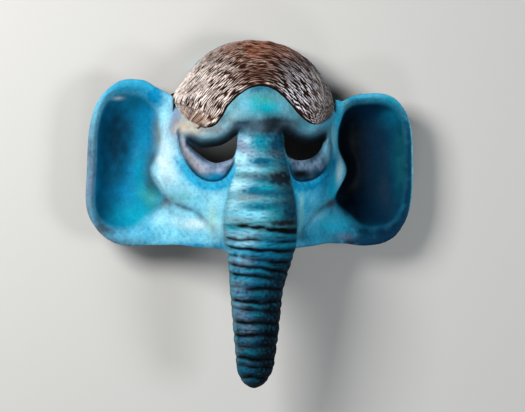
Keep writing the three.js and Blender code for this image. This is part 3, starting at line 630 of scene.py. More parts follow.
def handmade(points):
    """Moves the even mould to the uneven handmade shape, by smooth steps in x and y.

    The right ear stands out further and hangs lower than the left. The eyes and the nose sit a little to
    the right of the middle, the crown a little further, and the trunk leans back to the left.
    """
    x, y, z = points[..., 0], points[..., 1], points[..., 2]
    outer = rise(np.abs(x), 125, EAR_CORNER_X)
    lowered = RIGHT_EAR_DROP * (np.maximum(y - DROP_START_Y, 0) / DROP_RISE) ** 2
    lowered *= rise(x, DROP_START_X, DROP_END_X) * (1 - 0.13 * outer * (x > 0))
    lowered += RIGHT_EAR_SAG * rise(y, 30, -30) * rise(x, 100, 130)
    belly = bump(y, 0, BELLY_SPAN) * np.where(x > 0, RIGHT_BELLY, LEFT_BELLY)
    out = np.where(x > 0, RIGHT_EAR_OUT + belly, -belly) * outer
    face = FACE_SHIFT * (1 - np.where(x > 0, rise(x, 62, 96), rise(-x, 35, 72)))
    crown = CROWN_SHIFT * (1 - rise(np.abs(x), 90, 112)) + CROWN_LEAN * rise(y, 125, 150) * rise(x, 0, -50)
    shift = mix(face, crown, rise(y, 92, 114)) - TRUNK_BEND * rise(y, -30, -90)
    return np.stack([x + shift + out, y - lowered, z], axis=-1)


# Meshes

def face_positions(columns, rows):
    """Crowded steps across and along the face: closer at the eyes, on the trunk and at the crown."""
    across = spread(columns, lambda t: 0.55 + 0.8 * bump(np.abs(2 * t - 1), 0.25, 0.24))
    along = spread(rows, lambda t: 0.75 + 0.75 * bump(t, 0.5, 0.15) + 0.3 * bump(t, 0.15, 0.2)
                   + 0.8 * bump(t, 1, 0.05))
    return EAR_CORNER_X * (2 * across - 1), along


def face_points(column, v, inset):
    """x and y at a share v of the way up a column: the outline's width scales the column's x."""
    ear_y = mix(bottom_edge(EAR_CORNER_X, 0), top_edge(EAR_CORNER_X, 0), v)
    widen = side_edge(ear_y) / EAR_CORNER_X
    x = np.abs(column)
    y = mix(bottom_edge(x, inset), top_edge(x, inset), v)
    return column * widen * (1 - inset * widen / EAR_CORNER_X), y


def border(grid):
    """The grid's outer ring, counterclockwise from its lower left corner, without repeats."""
    return np.concatenate([grid[0, :-1], grid[:-1, -1], grid[-1, :0:-1], grid[:0:-1, 0]])


def numbered(shape, start=0):
    """Numbers of a grid's points, row by row from start."""
    rows, columns = shape[:2]
    return start + np.arange(rows * columns).reshape(rows, columns)


def grid_faces(height, start, flip):
    """Two triangles for each cell, split along the diagonal with the smaller step in height."""
    index = numbered(height.shape, start)
    a, b, c, d = index[:-1, :-1], index[:-1, 1:], index[1:, 1:], index[1:, :-1]
    ha, hb, hc, hd = height[:-1, :-1], height[:-1, 1:], height[1:, 1:], height[1:, :-1]
    other = (np.abs(hb - hd) < np.abs(ha - hc))[..., None]
    first = np.where(other, np.stack([a, b, d], -1), np.stack([a, b, c], -1))
    second = np.where(other, np.stack([b, c, d], -1), np.stack([a, c, d], -1))
    faces = np.concatenate([first.reshape(-1, 3), second.reshape(-1, 3)])
    return faces[:, ::-1] if flip else faces


def stitch(outer, inner):
    """Triangles between two rings of any lengths, walked around at the same pace."""
    n, m = len(outer), len(inner)
    pace = np.concatenate([(np.arange(n) + 0.5) / n, (np.arange(m) + 0.5) / m])
    on_outer = np.argsort(pace, kind="stable") < n
    i = np.cumsum(on_outer) - on_outer
    k = np.cumsum(~on_outer) - ~on_outer
    third = np.where(on_outer, outer[(i + 1) % n], inner[(k + 1) % m])
    return np.stack([outer[i % n], inner[k % m], third], 1)


def closed_sheet(front, rings, back):
    """Vertices and faces of a closed body: a front grid, rings around its border and a back grid."""
    vertices = [front.reshape(-1, 3), *rings, back.reshape(-1, 3)]
    starts = np.cumsum([0] + [len(v) for v in vertices])
    faces = [grid_faces(front[..., 2], 0, False), grid_faces(back[..., 2], starts[-2], True)]
    loops = [border(numbered(front.shape))]
    loops += [np.arange(a, b) for a, b in zip(starts[1:-2], starts[2:-1])]
    loops += [border(numbered(back.shape, starts[-2]))]
    faces += [stitch(a, b) for a, b in zip(loops[:-1], loops[1:])]
    return np.concatenate(vertices), np.concatenate(faces)


def make_mesh(name, vertices, faces, paint, gloss):
    """Mesh with a colour and a gloss at each vertex; the mark tells them from vertices added by a cut."""
    mesh = bpy.data.meshes.new(name)
    mesh.from_pydata(vertices.tolist(), [], faces.tolist())
    colour = mesh.attributes.new("paint", "FLOAT_COLOR", "POINT")
    colour.data.foreach_set("color", np.column_stack([paint, np.ones(len(paint))]).ravel())
    mesh.attributes.new("gloss", "FLOAT", "POINT").data.foreach_set("value", gloss)
    mesh.attributes.new("mark", "FLOAT", "POINT").data.foreach_set("value", np.ones(len(gloss)))
    return mesh


def add_object(name, data):
    """An object of its own for a mesh, a lamp or a camera, in the scene."""
    piece = bpy.data.objects.new(name, data)
    bpy.context.scene.collection.objects.link(piece)
    return piece


# Paint

def linear(code):
    """Linear red, green and blue of a screen colour written in hexadecimal."""
    screen = np.array([int(code[i:i + 2], 16) for i in (0, 2, 4)]) / 255
    return np.where(screen <= 0.04045, screen / 12.92, ((screen + 0.055) / 1.055) ** 2.4)


paint_rgb = {name: linear(code) for name, code in PAINTS.items()}


def coat(name, x):
    """One even coat of a paint over all the points of x."""
    return np.broadcast_to(paint_rgb[name], (*np.shape(x), 3))


def washed(colour, layers):
    """Lays paints over a colour in turn: each layer is a paint and how thickly it lies, from 0 to 1."""
    for name, amount in layers:
        colour = mix(colour, paint_rgb[name], clamp(amount)[..., None])
    return colour


def patch(x, y, at_x, at_y, size_x, size_y):
    """Soft elliptical patch: a bell in x times a bell in y."""
    return np.exp(-((x - at_x) / size_x) ** 2 - ((y - at_y) / size_y) ** 2)


def patched(colour, patches, x, y, amount):
    """Lays a row of soft patches over a colour, each as thickly as its own figure times the amount."""
    return washed(colour, ((name, thick * amount * patch(x, y, *place)) for name, *place, thick in patches))


def blurred(height, passes):
    """Mean of each grid point and its neighbours, taken again and again."""
    soft = height.copy()
    for _ in range(passes):
        wide = np.pad(soft, 1, mode="edge")
        soft = (wide[:-2, 1:-1] + wide[2:, 1:-1] + wide[1:-1, :-2] + wide[1:-1, 2:] + 2 * soft) / 6
    return soft


def ring_paint(across, y, place, stroke, cloud, dab):
    """Rings of the lower trunk, each leaning by a drawn amount towards slate or azure.

    The pale paints lie on the left only as painted light, the lower half of each ring is darker as painted
    shade, and ink covers the right side and the tip as painted shade, all by smooth steps across and along
    the trunk.
    """
    band = np.floor(place).astype(int)
    down = place - band
    # Painted shade that deepens towards the tip
    lowest = rise(y, -40, -150)
    leaning = np.random.default_rng(45).uniform(-0.5, 0.5, RING_DRAWS)[band % RING_DRAWS]
    blue = clamp(0.55 + 1.3 * leaning + 0.4 * cloud + 0.3 * stroke)
    lit = rise(across, -0.05, -0.8)
    # Painted shade on the lower half of each ring
    ring_underside_shade = rise(down, 0.45, 0.85) * (0.8 + 0.4 * dab)
    return washed(coat("deep", y), (
        ("teal", 0.9 * rise(y, -70, -30) + 0.3 * dab),
        ("slate", (1.3 - blue + 0.5 * dab) * lit),
        ("azure", (blue - 0.35 + 0.3 * dab) * (0.2 + 0.8 * lit) * (1 - 0.5 * lowest)),
        ("lavender", 0.9 * lit ** 2 * (1 - 0.4 * lowest) * clamp(1.1 - blue + 0.3 * dab)),
        ("ice", (0.3 + 0.6 * dab + 0.4 * leaning) * lit ** 2 * (1 - 0.9 * lowest)),
        ("azure", (0.15 + 0.8 * leaning + 0.3 * dab) * bump(down, 0.35, 0.25)),
        ("navy", (0.5 + 0.3 * cloud + 0.4 * dab) * lowest * (1 - 0.5 * lit)),
        ("navy", 0.8 * ring_underside_shade * rise(y, -16, -56) * (1 - 0.5 * lit)),
        ("turquoise", 0.35 * bump(down, 0.3, 0.25) * clamp(0.6 + cloud)),
        ("ink", rise(across, -0.42, 0.48) * (0.8 + 0.5 * dab) * rise(y, -24, -64)),
        ("deep", 0.25 * rise(y, -40, -60) * rise(y, -105, -85)),
        ("ink", 0.4 * rise(y, -80, -140)),
    ))


def trunk_paint(across, y, skin):
    """Pale blue and turquoise strokes under the brow, rings darkening to the tip as painted shade, and ink
    in the folds.
    """
    _, deep, soft, place = skin
    x = across * STROKE_HALF_WIDTH
    stroke = ripple(x / 3, y, 13, seed=41) + 0.5 * ripple(x / 2, y, 5, seed=42)
    cloud, dab = ripple(x, y, 30, seed=43), ripple(x, y, 6, seed=44)
    # Paler on the left as painted light, deeper on the right as painted shade
    colour = washed(coat("grey_teal", x), (
        ("turquoise", 0.35 + 0.45 * stroke + 0.2 * dab),
        ("ice", 0.2 - 0.4 * stroke + 0.2 * cloud - 0.5 * across),
        ("deep", 0.2 * rise(across, 0, 0.4) + 0.45 * rise(across, 0.4, 0.8)),
    ))
    colour = patched(colour, TRUNK_PATCHES, across, y, 1 + 0.3 * dab)
    colour = mix(colour, ring_paint(across, y, place, stroke, cloud, dab), rise(y, -8, -28)[..., None])
    at_side = rise(np.abs(across), 0.88, 0.96) * rise(y, -178, -148) * rise(y, 60, 30)
    # Grey-teal along the sides, and painted shade in the soft folds
    colour = washed(colour, (
        ("grey_teal", 0.5 * at_side * (1 - rise(across, 0, 0.5))),
        ("deep", 0.85 * soft ** 1.5 * rise(y, -4, 6) * (0.6 + 0.5 * cloud)),
    ))
    colour = patched(colour, RING_PATCHES, across, y, 1 + 0.4 * dab)
    scuff = ripple(across * 14, y, 3.4, seed=46)
    # Smoke scuffs, and ink in the deep folds that is partly painted shade
    return washed(colour, (
        ("smoke", 0.5 * clamp(scuff - 0.1) * (1 - 0.6 * soft)),
        ("ink", 1.35 * deep ** 1.6),
    ))


def bag_paint(colour, x, y, masks, right, blot, dab):
    """Grey lavender bags under the eyes, with painted shade at the crease, low on the roll and along the
    opening, and blue skin under them.
    """
    left = 1 - right
    lid, hole = masks["lid"], masks["hole"]
    part = bag_place(lid, hole)
    bag = rise(lid, -0.5, 1) * (1 - masks["above"])
    under = bump(lid, -5, 6) * rise(y, 70, 54) * (lid < 0)
    return washed(colour, (
        ("lavender", bag * (0.95 - 0.15 * right)),
        ("slate", bag * (0.25 + 0.25 * right + 0.3 * blot + 0.25 * dab)),
        # Painted shade on the lower part of each roll, deeper on the right bag
        ("deep", bag * clamp((0.5 - part) * 1.8 + 0.3 * right + 0.3 * blot)),
        ("ink", bag * right * 1.1 * patch(x, y, 42, 45, 15, 6)),
        ("azure", bag * 1.4 * left * patch(x, y, 50, 41, 24, 4.5)),
        ("teal", bag * 0.6 * left * patch(x, y, 56, 44, 12, 3)),
        # Painted highlight on the crest of the left roll
        ("beige", 0.35 * bag * left * bump(part, 0.4, 0.2) * rise(x, 50, 64)),
        # Painted shade along the opening and in the crease
        ("navy", 0.85 * bag * rise(hole, 6, 1) * rise(x, 46, 60)),
        ("navy", 0.85 * bump(lid, 0.6, 2.2) * rise(y, 66, 48)),
        ("ice", 0.5 * bag * right * patch(x, y, 80, 70, 8, 16)),
        ("sky", 1.3 * under * (1 - 0.5 * rise(x, 72, 88))),
        ("azure", (0.15 + 0.85 * right + 0.4 * blot + 0.5 * dab) * under),
        ("teal", 0.35 * right * under),
    ))


def brow_paint(colour, sx, y, masks, blot):
    """Lids in painted shade under the brow, darkening to ink towards the openings, and slate along the
    crease under the cheek, partly painted shade.
    """
    x, hole = np.abs(sx), masks["hole"]
    # Painted shade under the overhanging brow, from slate to ink, and navy with painted shade at the left
    # eye's outer corner
    near = rise(x, 100, 88) * masks["above"]
    colour = washed(colour, (
        ("slate", 0.75 * near * rise(hole, 18, 9)),
        ("smoke", 0.95 * near * rise(hole, 12, 4)),
        ("ink", near * rise(hole, 6, 1)),
        ("navy", rise(hole, 7, 1) * patch(sx, y, -76, 81, 8, 5)),
    ))
    colour = patched(colour, BROW_PATCHES, sx, y, 1)
    # Slate in the crease under the cheek: dark paint and painted shade together
    creased = bump(masks["crease"], 0.5, 3.4) * rise(x, 40, 58) * (1 - masks["cup"])
    return washed(colour, (("slate", (0.45 + 0.3 * blot) * creased),))


def ear_paint(colour, sx, y, bowl, right, cloud, blot, dab):
    """Rims with a painted highlight along their outer edges, and deep blue cups, darker in the right ear
    with the head's painted shadow.
    """
    x, left = np.abs(sx), 1 - right
    uneven = 1 + 0.25 * blot + 0.15 * dab
    colour = washed(colour, (("sky", 0.5 * left * rise(x, 104, 116) * (1 - bowl)),))
    colour = patched(colour, RIM_PATCHES, sx, y, rise(x, 96, 106) * (1 - bowl) * uneven)
    # Painted highlight along the outer edge of each rim, strongest on the right ear
    rim_edge_highlight = rise(side_edge(y) - x, 3.4, 1.2) * rise(y, -20, 20) * (x > EAR_X)
    colour = washed(colour, (("ice", rim_edge_highlight * (0.25 + 0.55 * right) * uneven),))
    # Right cup navy: darker paint with the head's shadow painted in
    cup = mix(coat("azure", x), coat("navy", x), right[..., None])
    cup = washed(cup, (("teal", left * (0.25 + 0.35 * cloud + 0.15 * dab)),))
    cup = patched(cup, CUP_PATCHES, sx, y, 1 + 0.2 * blot)
    colour = mix(colour, cup, bowl[..., None])
    return washed(colour, (("deep", (1 - bowl) * clamp(0.05 * cloud + 0.14 * dab - 0.03)),))


def face_paint(sx, y, height, masks):
    """Frosted blue face, darker on the right, grey-blue bags, lids in painted shade and deep glossy ear
    cups.
    """
    x = np.abs(sx)
    right = rise(sx, -12, 18)
    left = 1 - right
    cloud, blot, dab = ripple(sx, y, 34, seed=51), ripple(sx, y, 13, seed=52), ripple(sx, y, 5.5, seed=53)
    # Ridges paler and hollows darker, read from the relief: the mask's dry-brushing and washes together
    # with painted highlight and painted shade
    detail = np.clip((height - blurred(height, 8)) * 1.3, -0.5, 0.5)
    forehead = rise(y - 0.14 * x, 88, 100) * rise(x, 76, 56)
    colour = washed(coat("ice", x), (
        ("sky", 0.95 * right + 0.1 * left + 0.12 * blot + 0.12 * cloud),
        ("grey_teal", forehead * (0.9 + 0.2 * blot)),
        ("turquoise", 0.2 * clamp(dab) * left),
        ("frost", 0.4 * clamp(detail) * (1 - 0.5 * right)),
        ("deep", 0.8 * clamp(-detail)),
    ))
    colour = patched(colour, FACE_PATCHES, sx, y, 1 + 0.25 * blot + 0.15 * dab)
    colour = bag_paint(colour, x, y, masks, right, blot, dab)
    colour = brow_paint(colour, sx, y, masks, blot)
    bowl = rise(x, 86, 94) * rise(masks["cup"], 0.12, 0.42)
    colour = ear_paint(colour, sx, y, bowl, right, cloud, blot, dab)
    gloss = FACE_GLOSS * (1 + bowl) + 0.03 * ripple(sx, y, 18, seed=54)
    beside = rise(x / masks["half_width"], 1.02, 0.94)
    on_trunk = mix(rise(masks["ridge"], -3, 0), beside, rise(y, 50, 62)) * rise(y, 96, 86)
    trunk_colour = trunk_paint(masks["across"], y, masks["skin"])
    return mix(colour, trunk_colour, on_trunk[..., None]), gloss


def inside_paint(x, y):
    """Dark brown inside, rubbed paler in places; the backs of the ears are painted like their fronts."""
    rubbed = ripple(x, y, 26, seed=61) + 0.5 * ripple(x, y, 8, seed=62)
    return washed(coat("inside", x), (
        ("inside_worn", 0.35 + 0.4 * rubbed),
        ("deep", rise(np.abs(x), 98, 112) * (0.9 + 0.2 * rubbed)),
    ))


# Shell

def shell_front():
    """Outer skin over the crowded grid, with its paint and gloss."""
    columns, along = face_positions(*FRONT_GRID)
    sx, y = face_points(columns[None, :], along[:, None], RIM_BULGE)
    height, masks = front_skin(sx, y)
    colour, gloss = face_paint(sx, y, height, masks)
    return np.stack([sx, y, height], -1), colour, gloss


def shell_back():
    """Inner skin over its own coarser grid, inside the edge."""
    columns, along = face_positions(*BACK_GRID)
    sx, y = face_points(columns[None, :], along[:, None], INNER_EDGE)
    return np.stack([sx, y, back_height(sx, y)], -1)


def rim_rings(front, back_at_front):
    """Rounded edge: half an ellipse from the front border to the back border, bulging outwards."""
    across = front[:, :2] - back_at_front[:, :2]
    outwards = across / np.maximum(np.linalg.norm(across, axis=1, keepdims=True), 1e-6)
    thick = rise(front[:, 2] - back_at_front[:, 2], 0, 3)[:, None]
    rings = []
    for k in range(1, RIM_RINGS):
        angle = math.pi * k / RIM_RINGS
        ring = mix(front, back_at_front, (1 - math.cos(angle)) / 2)
        ring[:, :2] += outwards * thick * RIM_BULGE * math.sin(angle)
        rings.append(ring)
    return rings


def make_shell():
    """Front, rounded edge and back as one closed mesh; around the edge the paint turns to the inside's."""
    front, front_colour, front_gloss = shell_front()
    back = shell_back()
    columns, along = face_positions(*FRONT_GRID)
    column, v = np.meshgrid(columns, along)
    edge_x, edge_y = face_points(border(column), border(v), INNER_EDGE)
    back_edge = np.stack([edge_x, edge_y, back_height(edge_x, edge_y)], -1)
    rings = rim_rings(border(front), back_edge)
    vertices, faces = closed_sheet(front, rings, back)
    inwards = [rise(1.3 * (k + 1) / len(rings), 0.3, 1.3) for k in range(len(rings))]
    edge_colour, edge_gloss = border(front_colour), border(front_gloss)
    edge_inside = inside_paint(edge_x, edge_y)
    colours = [front_colour.reshape(-1, 3), *(mix(edge_colour, edge_inside, share) for share in inwards),
               inside_paint(back[..., 0].ravel(), back[..., 1].ravel())]
    glosses = [front_gloss.ravel(), *(edge_gloss * (1 - share) for share in inwards),
               np.full(back[..., 0].size, INSIDE_GLOSS)]
    colour, gloss = np.concatenate(colours), np.concatenate(glosses)
    return make_mesh("mask_shell", handmade(vertices), faces, colour, gloss)


def tube_points(inset, mouth, sides, rings):
    """Ellipse rings along the trunk, sunk by inset under the skin, from the tip up to a slanted mouth."""
    angle = 2 * math.pi * np.arange(sides) / sides
    share = (np.arange(rings + 1) / rings)[:, None]
    front = (1 + np.cos(angle)) / 2
    y = mix(TIP_Y + inset, mix(mouth[1], mouth[0], front), share ** TUBE_CROWDING)
    half_width, half_depth, centre = trunk_at(y - inset * (1 - share))
    across = np.broadcast_to(np.sin(angle), y.shape)
    skin = trunk_skin(across, y)
    relief = -inset if inset else skin[0] * mix(UNDER_RELIEF, 1, rise(2 * front, 0.3, 1.3))
    under = relief - TUBE_TUCK * rise(y, -48, -36)
    wide, deep = np.maximum(half_width + under, SLIM), np.maximum(half_depth + under, SLIM)
    points = np.stack([wide * np.sin(angle), y, centre + deep * np.cos(angle)], -1)
    return points, across, skin


def make_tube(name, inset, mouth, sides, rings):
    """Closed tube of the trunk, or its hollow if there is an inset: rings of quads, a fan at each end."""
    points, across, skin = tube_points(inset, mouth, sides, rings)
    index = numbered(points.shape)
    a, b = index[:-1], np.roll(index[:-1], -1, axis=1)
    c, d = np.roll(index[1:], -1, axis=1), index[1:]
    fan, tip, top = np.arange(1, sides - 1), np.zeros(sides - 2, int), index[-1, 0]
    faces = [np.stack([a, b, c], -1).reshape(-1, 3), np.stack([a, c, d], -1).reshape(-1, 3),
             np.stack([tip, fan + 1, fan], 1), np.stack([tip + top, top + fan, top + fan + 1], 1)]
    y = points[..., 1]
    if inset:
        colour = inside_paint(np.zeros(y.shape), y)
        gloss = np.full(y.shape, INSIDE_GLOSS)
    else:
        colour = trunk_paint(across, y, skin)
        gloss = TRUNK_GLOSS + 0.1 * ripple(across * 30, y, 16, seed=63)
    return make_mesh(name, handmade(points.reshape(-1, 3)), np.concatenate(faces),
                     colour.reshape(-1, 3), gloss.ravel())


def make_eye_cutter(line):
    """Upright prism through the face: an eye opening's outline at two heights, each closed by a fan."""
    ring = line[:-1]
    n = len(ring)
    levels = [np.column_stack([ring, np.full(n, z)]) for z in (CUT_LOW, CUT_HIGH)]
    middles = np.array([[*ring.mean(axis=0), z] for z in (CUT_LOW, CUT_HIGH)])
    k, low_middle, high_middle = np.arange(n), np.full(n, 2 * n), np.full(n, 2 * n + 1)
    after = (k + 1) % n
    faces = np.concatenate([
        np.stack([k, k + n, after], 1), np.stack([after, k + n, after + n], 1),
        np.stack([low_middle, k, after], 1), np.stack([high_middle, after + n, k + n], 1)])
    vertices = handmade(np.concatenate([*levels, middles]))
    gloss = np.full(len(vertices), CUT_GLOSS)
    # The cutter's ink paints the walls of the openings: dark paint with painted shade in it
    return make_mesh("eye_cutter", vertices, faces, coat("ink", vertices[:, 0]), gloss)


def joined(base, steps):
    """The base mesh with the other meshes added to it or cut from it, as one closed mesh."""
    piece = add_object(base.name, base)
    tools = []
    for mesh, operation in steps:
        tools.append(add_object(mesh.name, mesh))
        cut = piece.modifiers.new("join", "BOOLEAN")
        cut.solver = "MANIFOLD"
        cut.operation = operation
        cut.object = tools[-1]
    view = bpy.context.evaluated_depsgraph_get()
    result = bpy.data.meshes.new_from_object(piece.evaluated_get(view))
    for tool in [piece, *tools]:
        bpy.data.objects.remove(tool)
    return result


def read(mesh, name, width, field):
    """Values of a vertex attribute as an array, with a row for each vertex where it has several."""
    values = np.empty(len(mesh.vertices) * width, np.float32)
    mesh.attributes[name].data.foreach_get(field, values)
    return values.reshape(-1, width) if width > 1 else values


def heal_paint(mesh, passes=20):
    """Vertices added by a cut take the mean paint of their neighbours, spreading from the known ones."""
    colour, gloss = read(mesh, "paint", 4, "color"), read(mesh, "gloss", 1, "value")
    known = read(mesh, "mark", 1, "value") > 0.99
    edges = np.empty(len(mesh.edges) * 2, np.int32)
    mesh.edges.foreach_get("vertices", edges)
    edges = edges.reshape(-1, 2)
    both = np.concatenate([edges, edges[:, ::-1]])
    values = np.column_stack([colour, gloss])
    for _ in range(passes):
        if known.all():
            break
        use = both[known[both[:, 1]] & ~known[both[:, 0]]]
        total, count = np.zeros_like(values), np.zeros(len(values))
        np.add.at(total, use[:, 0], values[use[:, 1]])
        np.add.at(count, use[:, 0], 1)
        reached = count > 0
        values[reached] = total[reached] / count[reached, None]
        known = known | reached
    mesh.attributes["paint"].data.foreach_set("color", values[:, :4].ravel())
    mesh.attributes["gloss"].data.foreach_set("value", values[:, 4].copy())
    mesh.attributes.remove(mesh.attributes["mark"])


def finish_piece(name, mesh, material, sharp_angle):
    """Finished piece: metres from millimetres, smooth shading with sharp edges kept, and its material."""
    place = np.empty(len(mesh.vertices) * 3, np.float32)
    mesh.vertices.foreach_get("co", place)
    mesh.vertices.foreach_set("co", place * MM)
    mesh.materials.clear()
    mesh.materials.append(material)
    mesh.shade_smooth()
    mesh.set_sharp_from_angle(angle=math.radians(sharp_angle))
    mesh.update()
    mesh.name = name
    piece = add_object(name, mesh)
    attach(piece, "root")
    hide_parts(NODE)


# Hair

def evenly(line, t):
    """Points at the shares t of a line's length."""
    along = np.concatenate([[0], np.cumsum(np.linalg.norm(np.diff(line, axis=0), axis=1))])
    along /= along[-1]
    return np.column_stack([np.interp(t, along, line[:, 0]), np.interp(t, along, line[:, 1])])


def hair_patch(rows, columns):
    """Points of the cap, their distances from the hairline, and each column's whole length.

    Rows run from the hairline (0) to the crown (1) and columns from the left tip to the right tip. Each
    point is a mix of the hairline and the outer edge, and the rows of a column stand at equal distances
    along the dome.
    """
    line = smooth_curve(HAIRLINE, per_span=HAIRLINE_STEPS)
    left_tip, right_tip = HAIRLINE_STEPS * LEFT_TIP, HAIRLINE_STEPS * RIGHT_TIP
    start = math.asin(((line[-1, 1] - HEAD_Y) / HEAD_RISE) ** (HEAD_POWER / 2))
    angle = np.linspace(math.pi - start, start, CROWN_STEPS)
    sideways = np.sign(np.cos(angle)) * np.abs(np.cos(angle)) ** (2 / HEAD_POWER)
    dome = np.column_stack([(HEAD_HALF_WIDTH - HAIR_INSET) * sideways,
                            HEAD_Y + (HEAD_RISE - HAIR_INSET) * np.sin(angle) ** (2 / HEAD_POWER)])
    outer = np.vstack([line[left_tip::-1], dome, line[:right_tip - 1:-1]])
    t = np.linspace(*COLUMN_ENDS, columns + 1)
    a, b = evenly(line[left_tip:right_tip + 1], t), evenly(outer, t)
    fine = 1 - (1 - np.linspace(0, 1, COLUMN_STEPS)) ** COLUMN_CROWDING
    points = mix(a[None], b[None], fine[:, None, None])
    heights = head_height(points[..., 0], points[..., 1], 0)
    whole = np.concatenate([points, heights[..., None]], -1)
    length = np.linalg.norm(np.diff(whole, axis=0), axis=-1)
    travelled = np.vstack([np.zeros(columns + 1), np.cumsum(length, axis=0)])
    wanted = np.linspace(0, 1, rows + 1)
    place = np.empty((rows + 1, columns + 1, 3))
    for j in range(columns + 1):
        share = np.interp(wanted * travelled[-1, j], travelled[:, j], fine)
        place[:, j, :2] = mix(a[j], b[j], share[:, None])
    x, y = place[..., 0], place[..., 1]
    place[..., 2] = np.maximum(head_height(x, y, 0), front_skin(x, y)[0] - HAIR_BEDDING)
    return place, wanted[:, None] * travelled[-1][None, :], travelled[-1]


def normals_of(grid):
    """Unit normal at each grid point from the two directions of the grid."""
    normal = np.cross(np.gradient(grid, axis=1), np.gradient(grid, axis=0))
    normal /= np.maximum(np.linalg.norm(normal, axis=-1, keepdims=True), 1e-9)
    return normal


def strand_tone(along, from_line):
    """Height of a point on the strands, 0 to 1: a drifting sine over the rows and long thin ripples."""
    drift = 0.5 * ripple(along, from_line * 2, 46, seed=71)
    drift += 0.25 * ripple(along, from_line * 2, 17, seed=72)
    comb = np.sin(2 * math.pi * (from_line / STRAND_PITCH + drift))
    streak = ripple(along / 8.5, from_line + 2 * drift, 2.4, seed=73, waves=18)
    wisp = ripple(along / 8, from_line, 1.5, seed=74, waves=18)
    return clamp(0.5 + 0.3 * streak + 0.16 * comb + 0.24 * wisp)


def make_hair():
    """Combed hair: strands of uneven height along the hairline, laid on a cap along its normals.

    The cap sinks in as a quarter circle at its edge and by a smooth step at the crown.
    """
    base, from_line, reach = hair_patch(*HAIR_GRID)
    normal = normals_of(base)
    along = np.cumsum(np.linalg.norm(np.gradient(base, axis=1), axis=-1), axis=1)
    x, y, z = base[..., 0], base[..., 1], base[..., 2]
    to_crown = reach[None, :] - from_line
    tone = strand_tone(along, from_line)
    relief = STRAND_DEPTH * (tone - 1) + LOCK_DEPTH * ripple(x, y, 14, seed=75)
    edge = np.minimum(from_line, np.minimum(along, along[:, -1:] - along) + HAIR_END_MARGIN)
    rounding = 1 - np.sqrt(1 - clamp(1 - edge / HAIR_EDGE_SPAN) ** 2)
    lift = HAIR_LIFT * rise(to_crown, 0, HAIR_LIFT_SPAN) * rise(z, 0, 40)
    at_crown = (1 - rise(to_crown, 0, HAIR_CROWN_SPAN)) * (z > 1)
    sink = HAIR_EDGE_SINK * rounding + HAIR_CROWN_SINK * at_crown
    height = np.maximum(lift + relief, HAIR_LOWEST) - sink
    top = base + normal * height[..., None]
    underside = (base - HAIR_THICKNESS * normal)[::UNDERSIDE_STEP, ::UNDERSIDE_STEP]
    for sheet in (top, underside):
        sheet[..., 2] = np.maximum(sheet[..., 2], 0)
    vertices, faces = closed_sheet(top, [], underside)
    under_colour = coat("hair_dark", underside[..., 0]).reshape(-1, 3)
    colour = np.concatenate([hair_paint(x, y, tone, from_line).reshape(-1, 3), under_colour])
    gloss = np.concatenate([(HAIR_GLOSS + 0.25 * tone).ravel(), np.full(len(under_colour), HAIR_GLOSS)])
    return make_mesh("combed_hair", handmade(vertices), faces, colour, gloss)


def hair_paint(x, y, tone, from_line):
    """Dark grooves, copper over the crown, and dry-brushed strands, pinkish left and greyer right."""
    cloud, fleck = ripple(x, y, 24, seed=81), ripple(x, y, 3.4, seed=82)
    copper = clamp(patch(x, y, 4, 180, 62, 17) * (1 + 0.3 * cloud) + 0.8 * patch(x, y, -6, 152, 26, 11))
    white, tip = patch(x, y, 38, 132, 24, 30), patch(x, y, -70, 103, 16, 9)
    right = rise(x, 6, 26)
    pale_side = 0.09 * rise(-x, 10, 40) + 0.08 * rise(-x, 45, 70)
    brushed = rise(tone + pale_side, 0.59, 0.78) * (1 - 0.85 * copper) * (0.9 + 0.3 * cloud + 0.3 * fleck)
    return washed(coat("hair_dark", x), (
        ("hair_brown", rise(tone, 0.3, 0.65) * (0.5 + 0.5 * copper) * (1 - 0.5 * white)),
        ("hair_rust", rise(tone, 0.45, 0.75) * copper * (0.9 + 0.3 * fleck)),
        ("hair_pale", brushed * (1 - right)),
        ("hair_grey", brushed * right * (1 - 0.8 * white)),
        ("hair_white", 1.3 * rise(tone, 0.59, 0.72) * right * white),
        ("hair_grey", rise(x, 52, 74) * (0.35 + 0.3 * fleck)),
        ("hair_dark", 0.6 * patch(x, y, -4, 152, 26, 10) + 0.45 * patch(x, y, 34, 151, 20, 15)),
        ("hair_dark", rise(y, 150, 170) * (0.45 + 0.35 * rise(x, 0, 20)) * (1 - copper)),
        ("hair_sand", 0.5 * tip * rise(tone, 0.3, 0.6)),
        ("hair_brown", 0.42 * tip),
        # Dark paint and painted shadow along the hair's edge
        ("hair_dark", 1.2 * rise(from_line, 3.4, 0.8) * (1 - 0.7 * tip)),
    ))


# Materials

# Noises in the paint, each with its scale to a metre, its detail and its roughness
CLOUD_NOISE, FLECK_NOISE, TOOTH_NOISE = (95.0, 6.0, 0.62), (520.0, 3.0, 0.6), (1400.0, 4.0, 0.6)
# Strength of the highlights, roughness at gloss 0 and at the most gloss, and what the flecks add to it
SPECULAR, MATT, SHINY, MOST_GLOSS, FLECK_ROUGHNESS = 0.05, 0.85, 0.22, 0.9, 0.16
# Heights of the grain in metres
FLECK_HEIGHT, TOOTH_HEIGHT = 0.0009, 0.0003


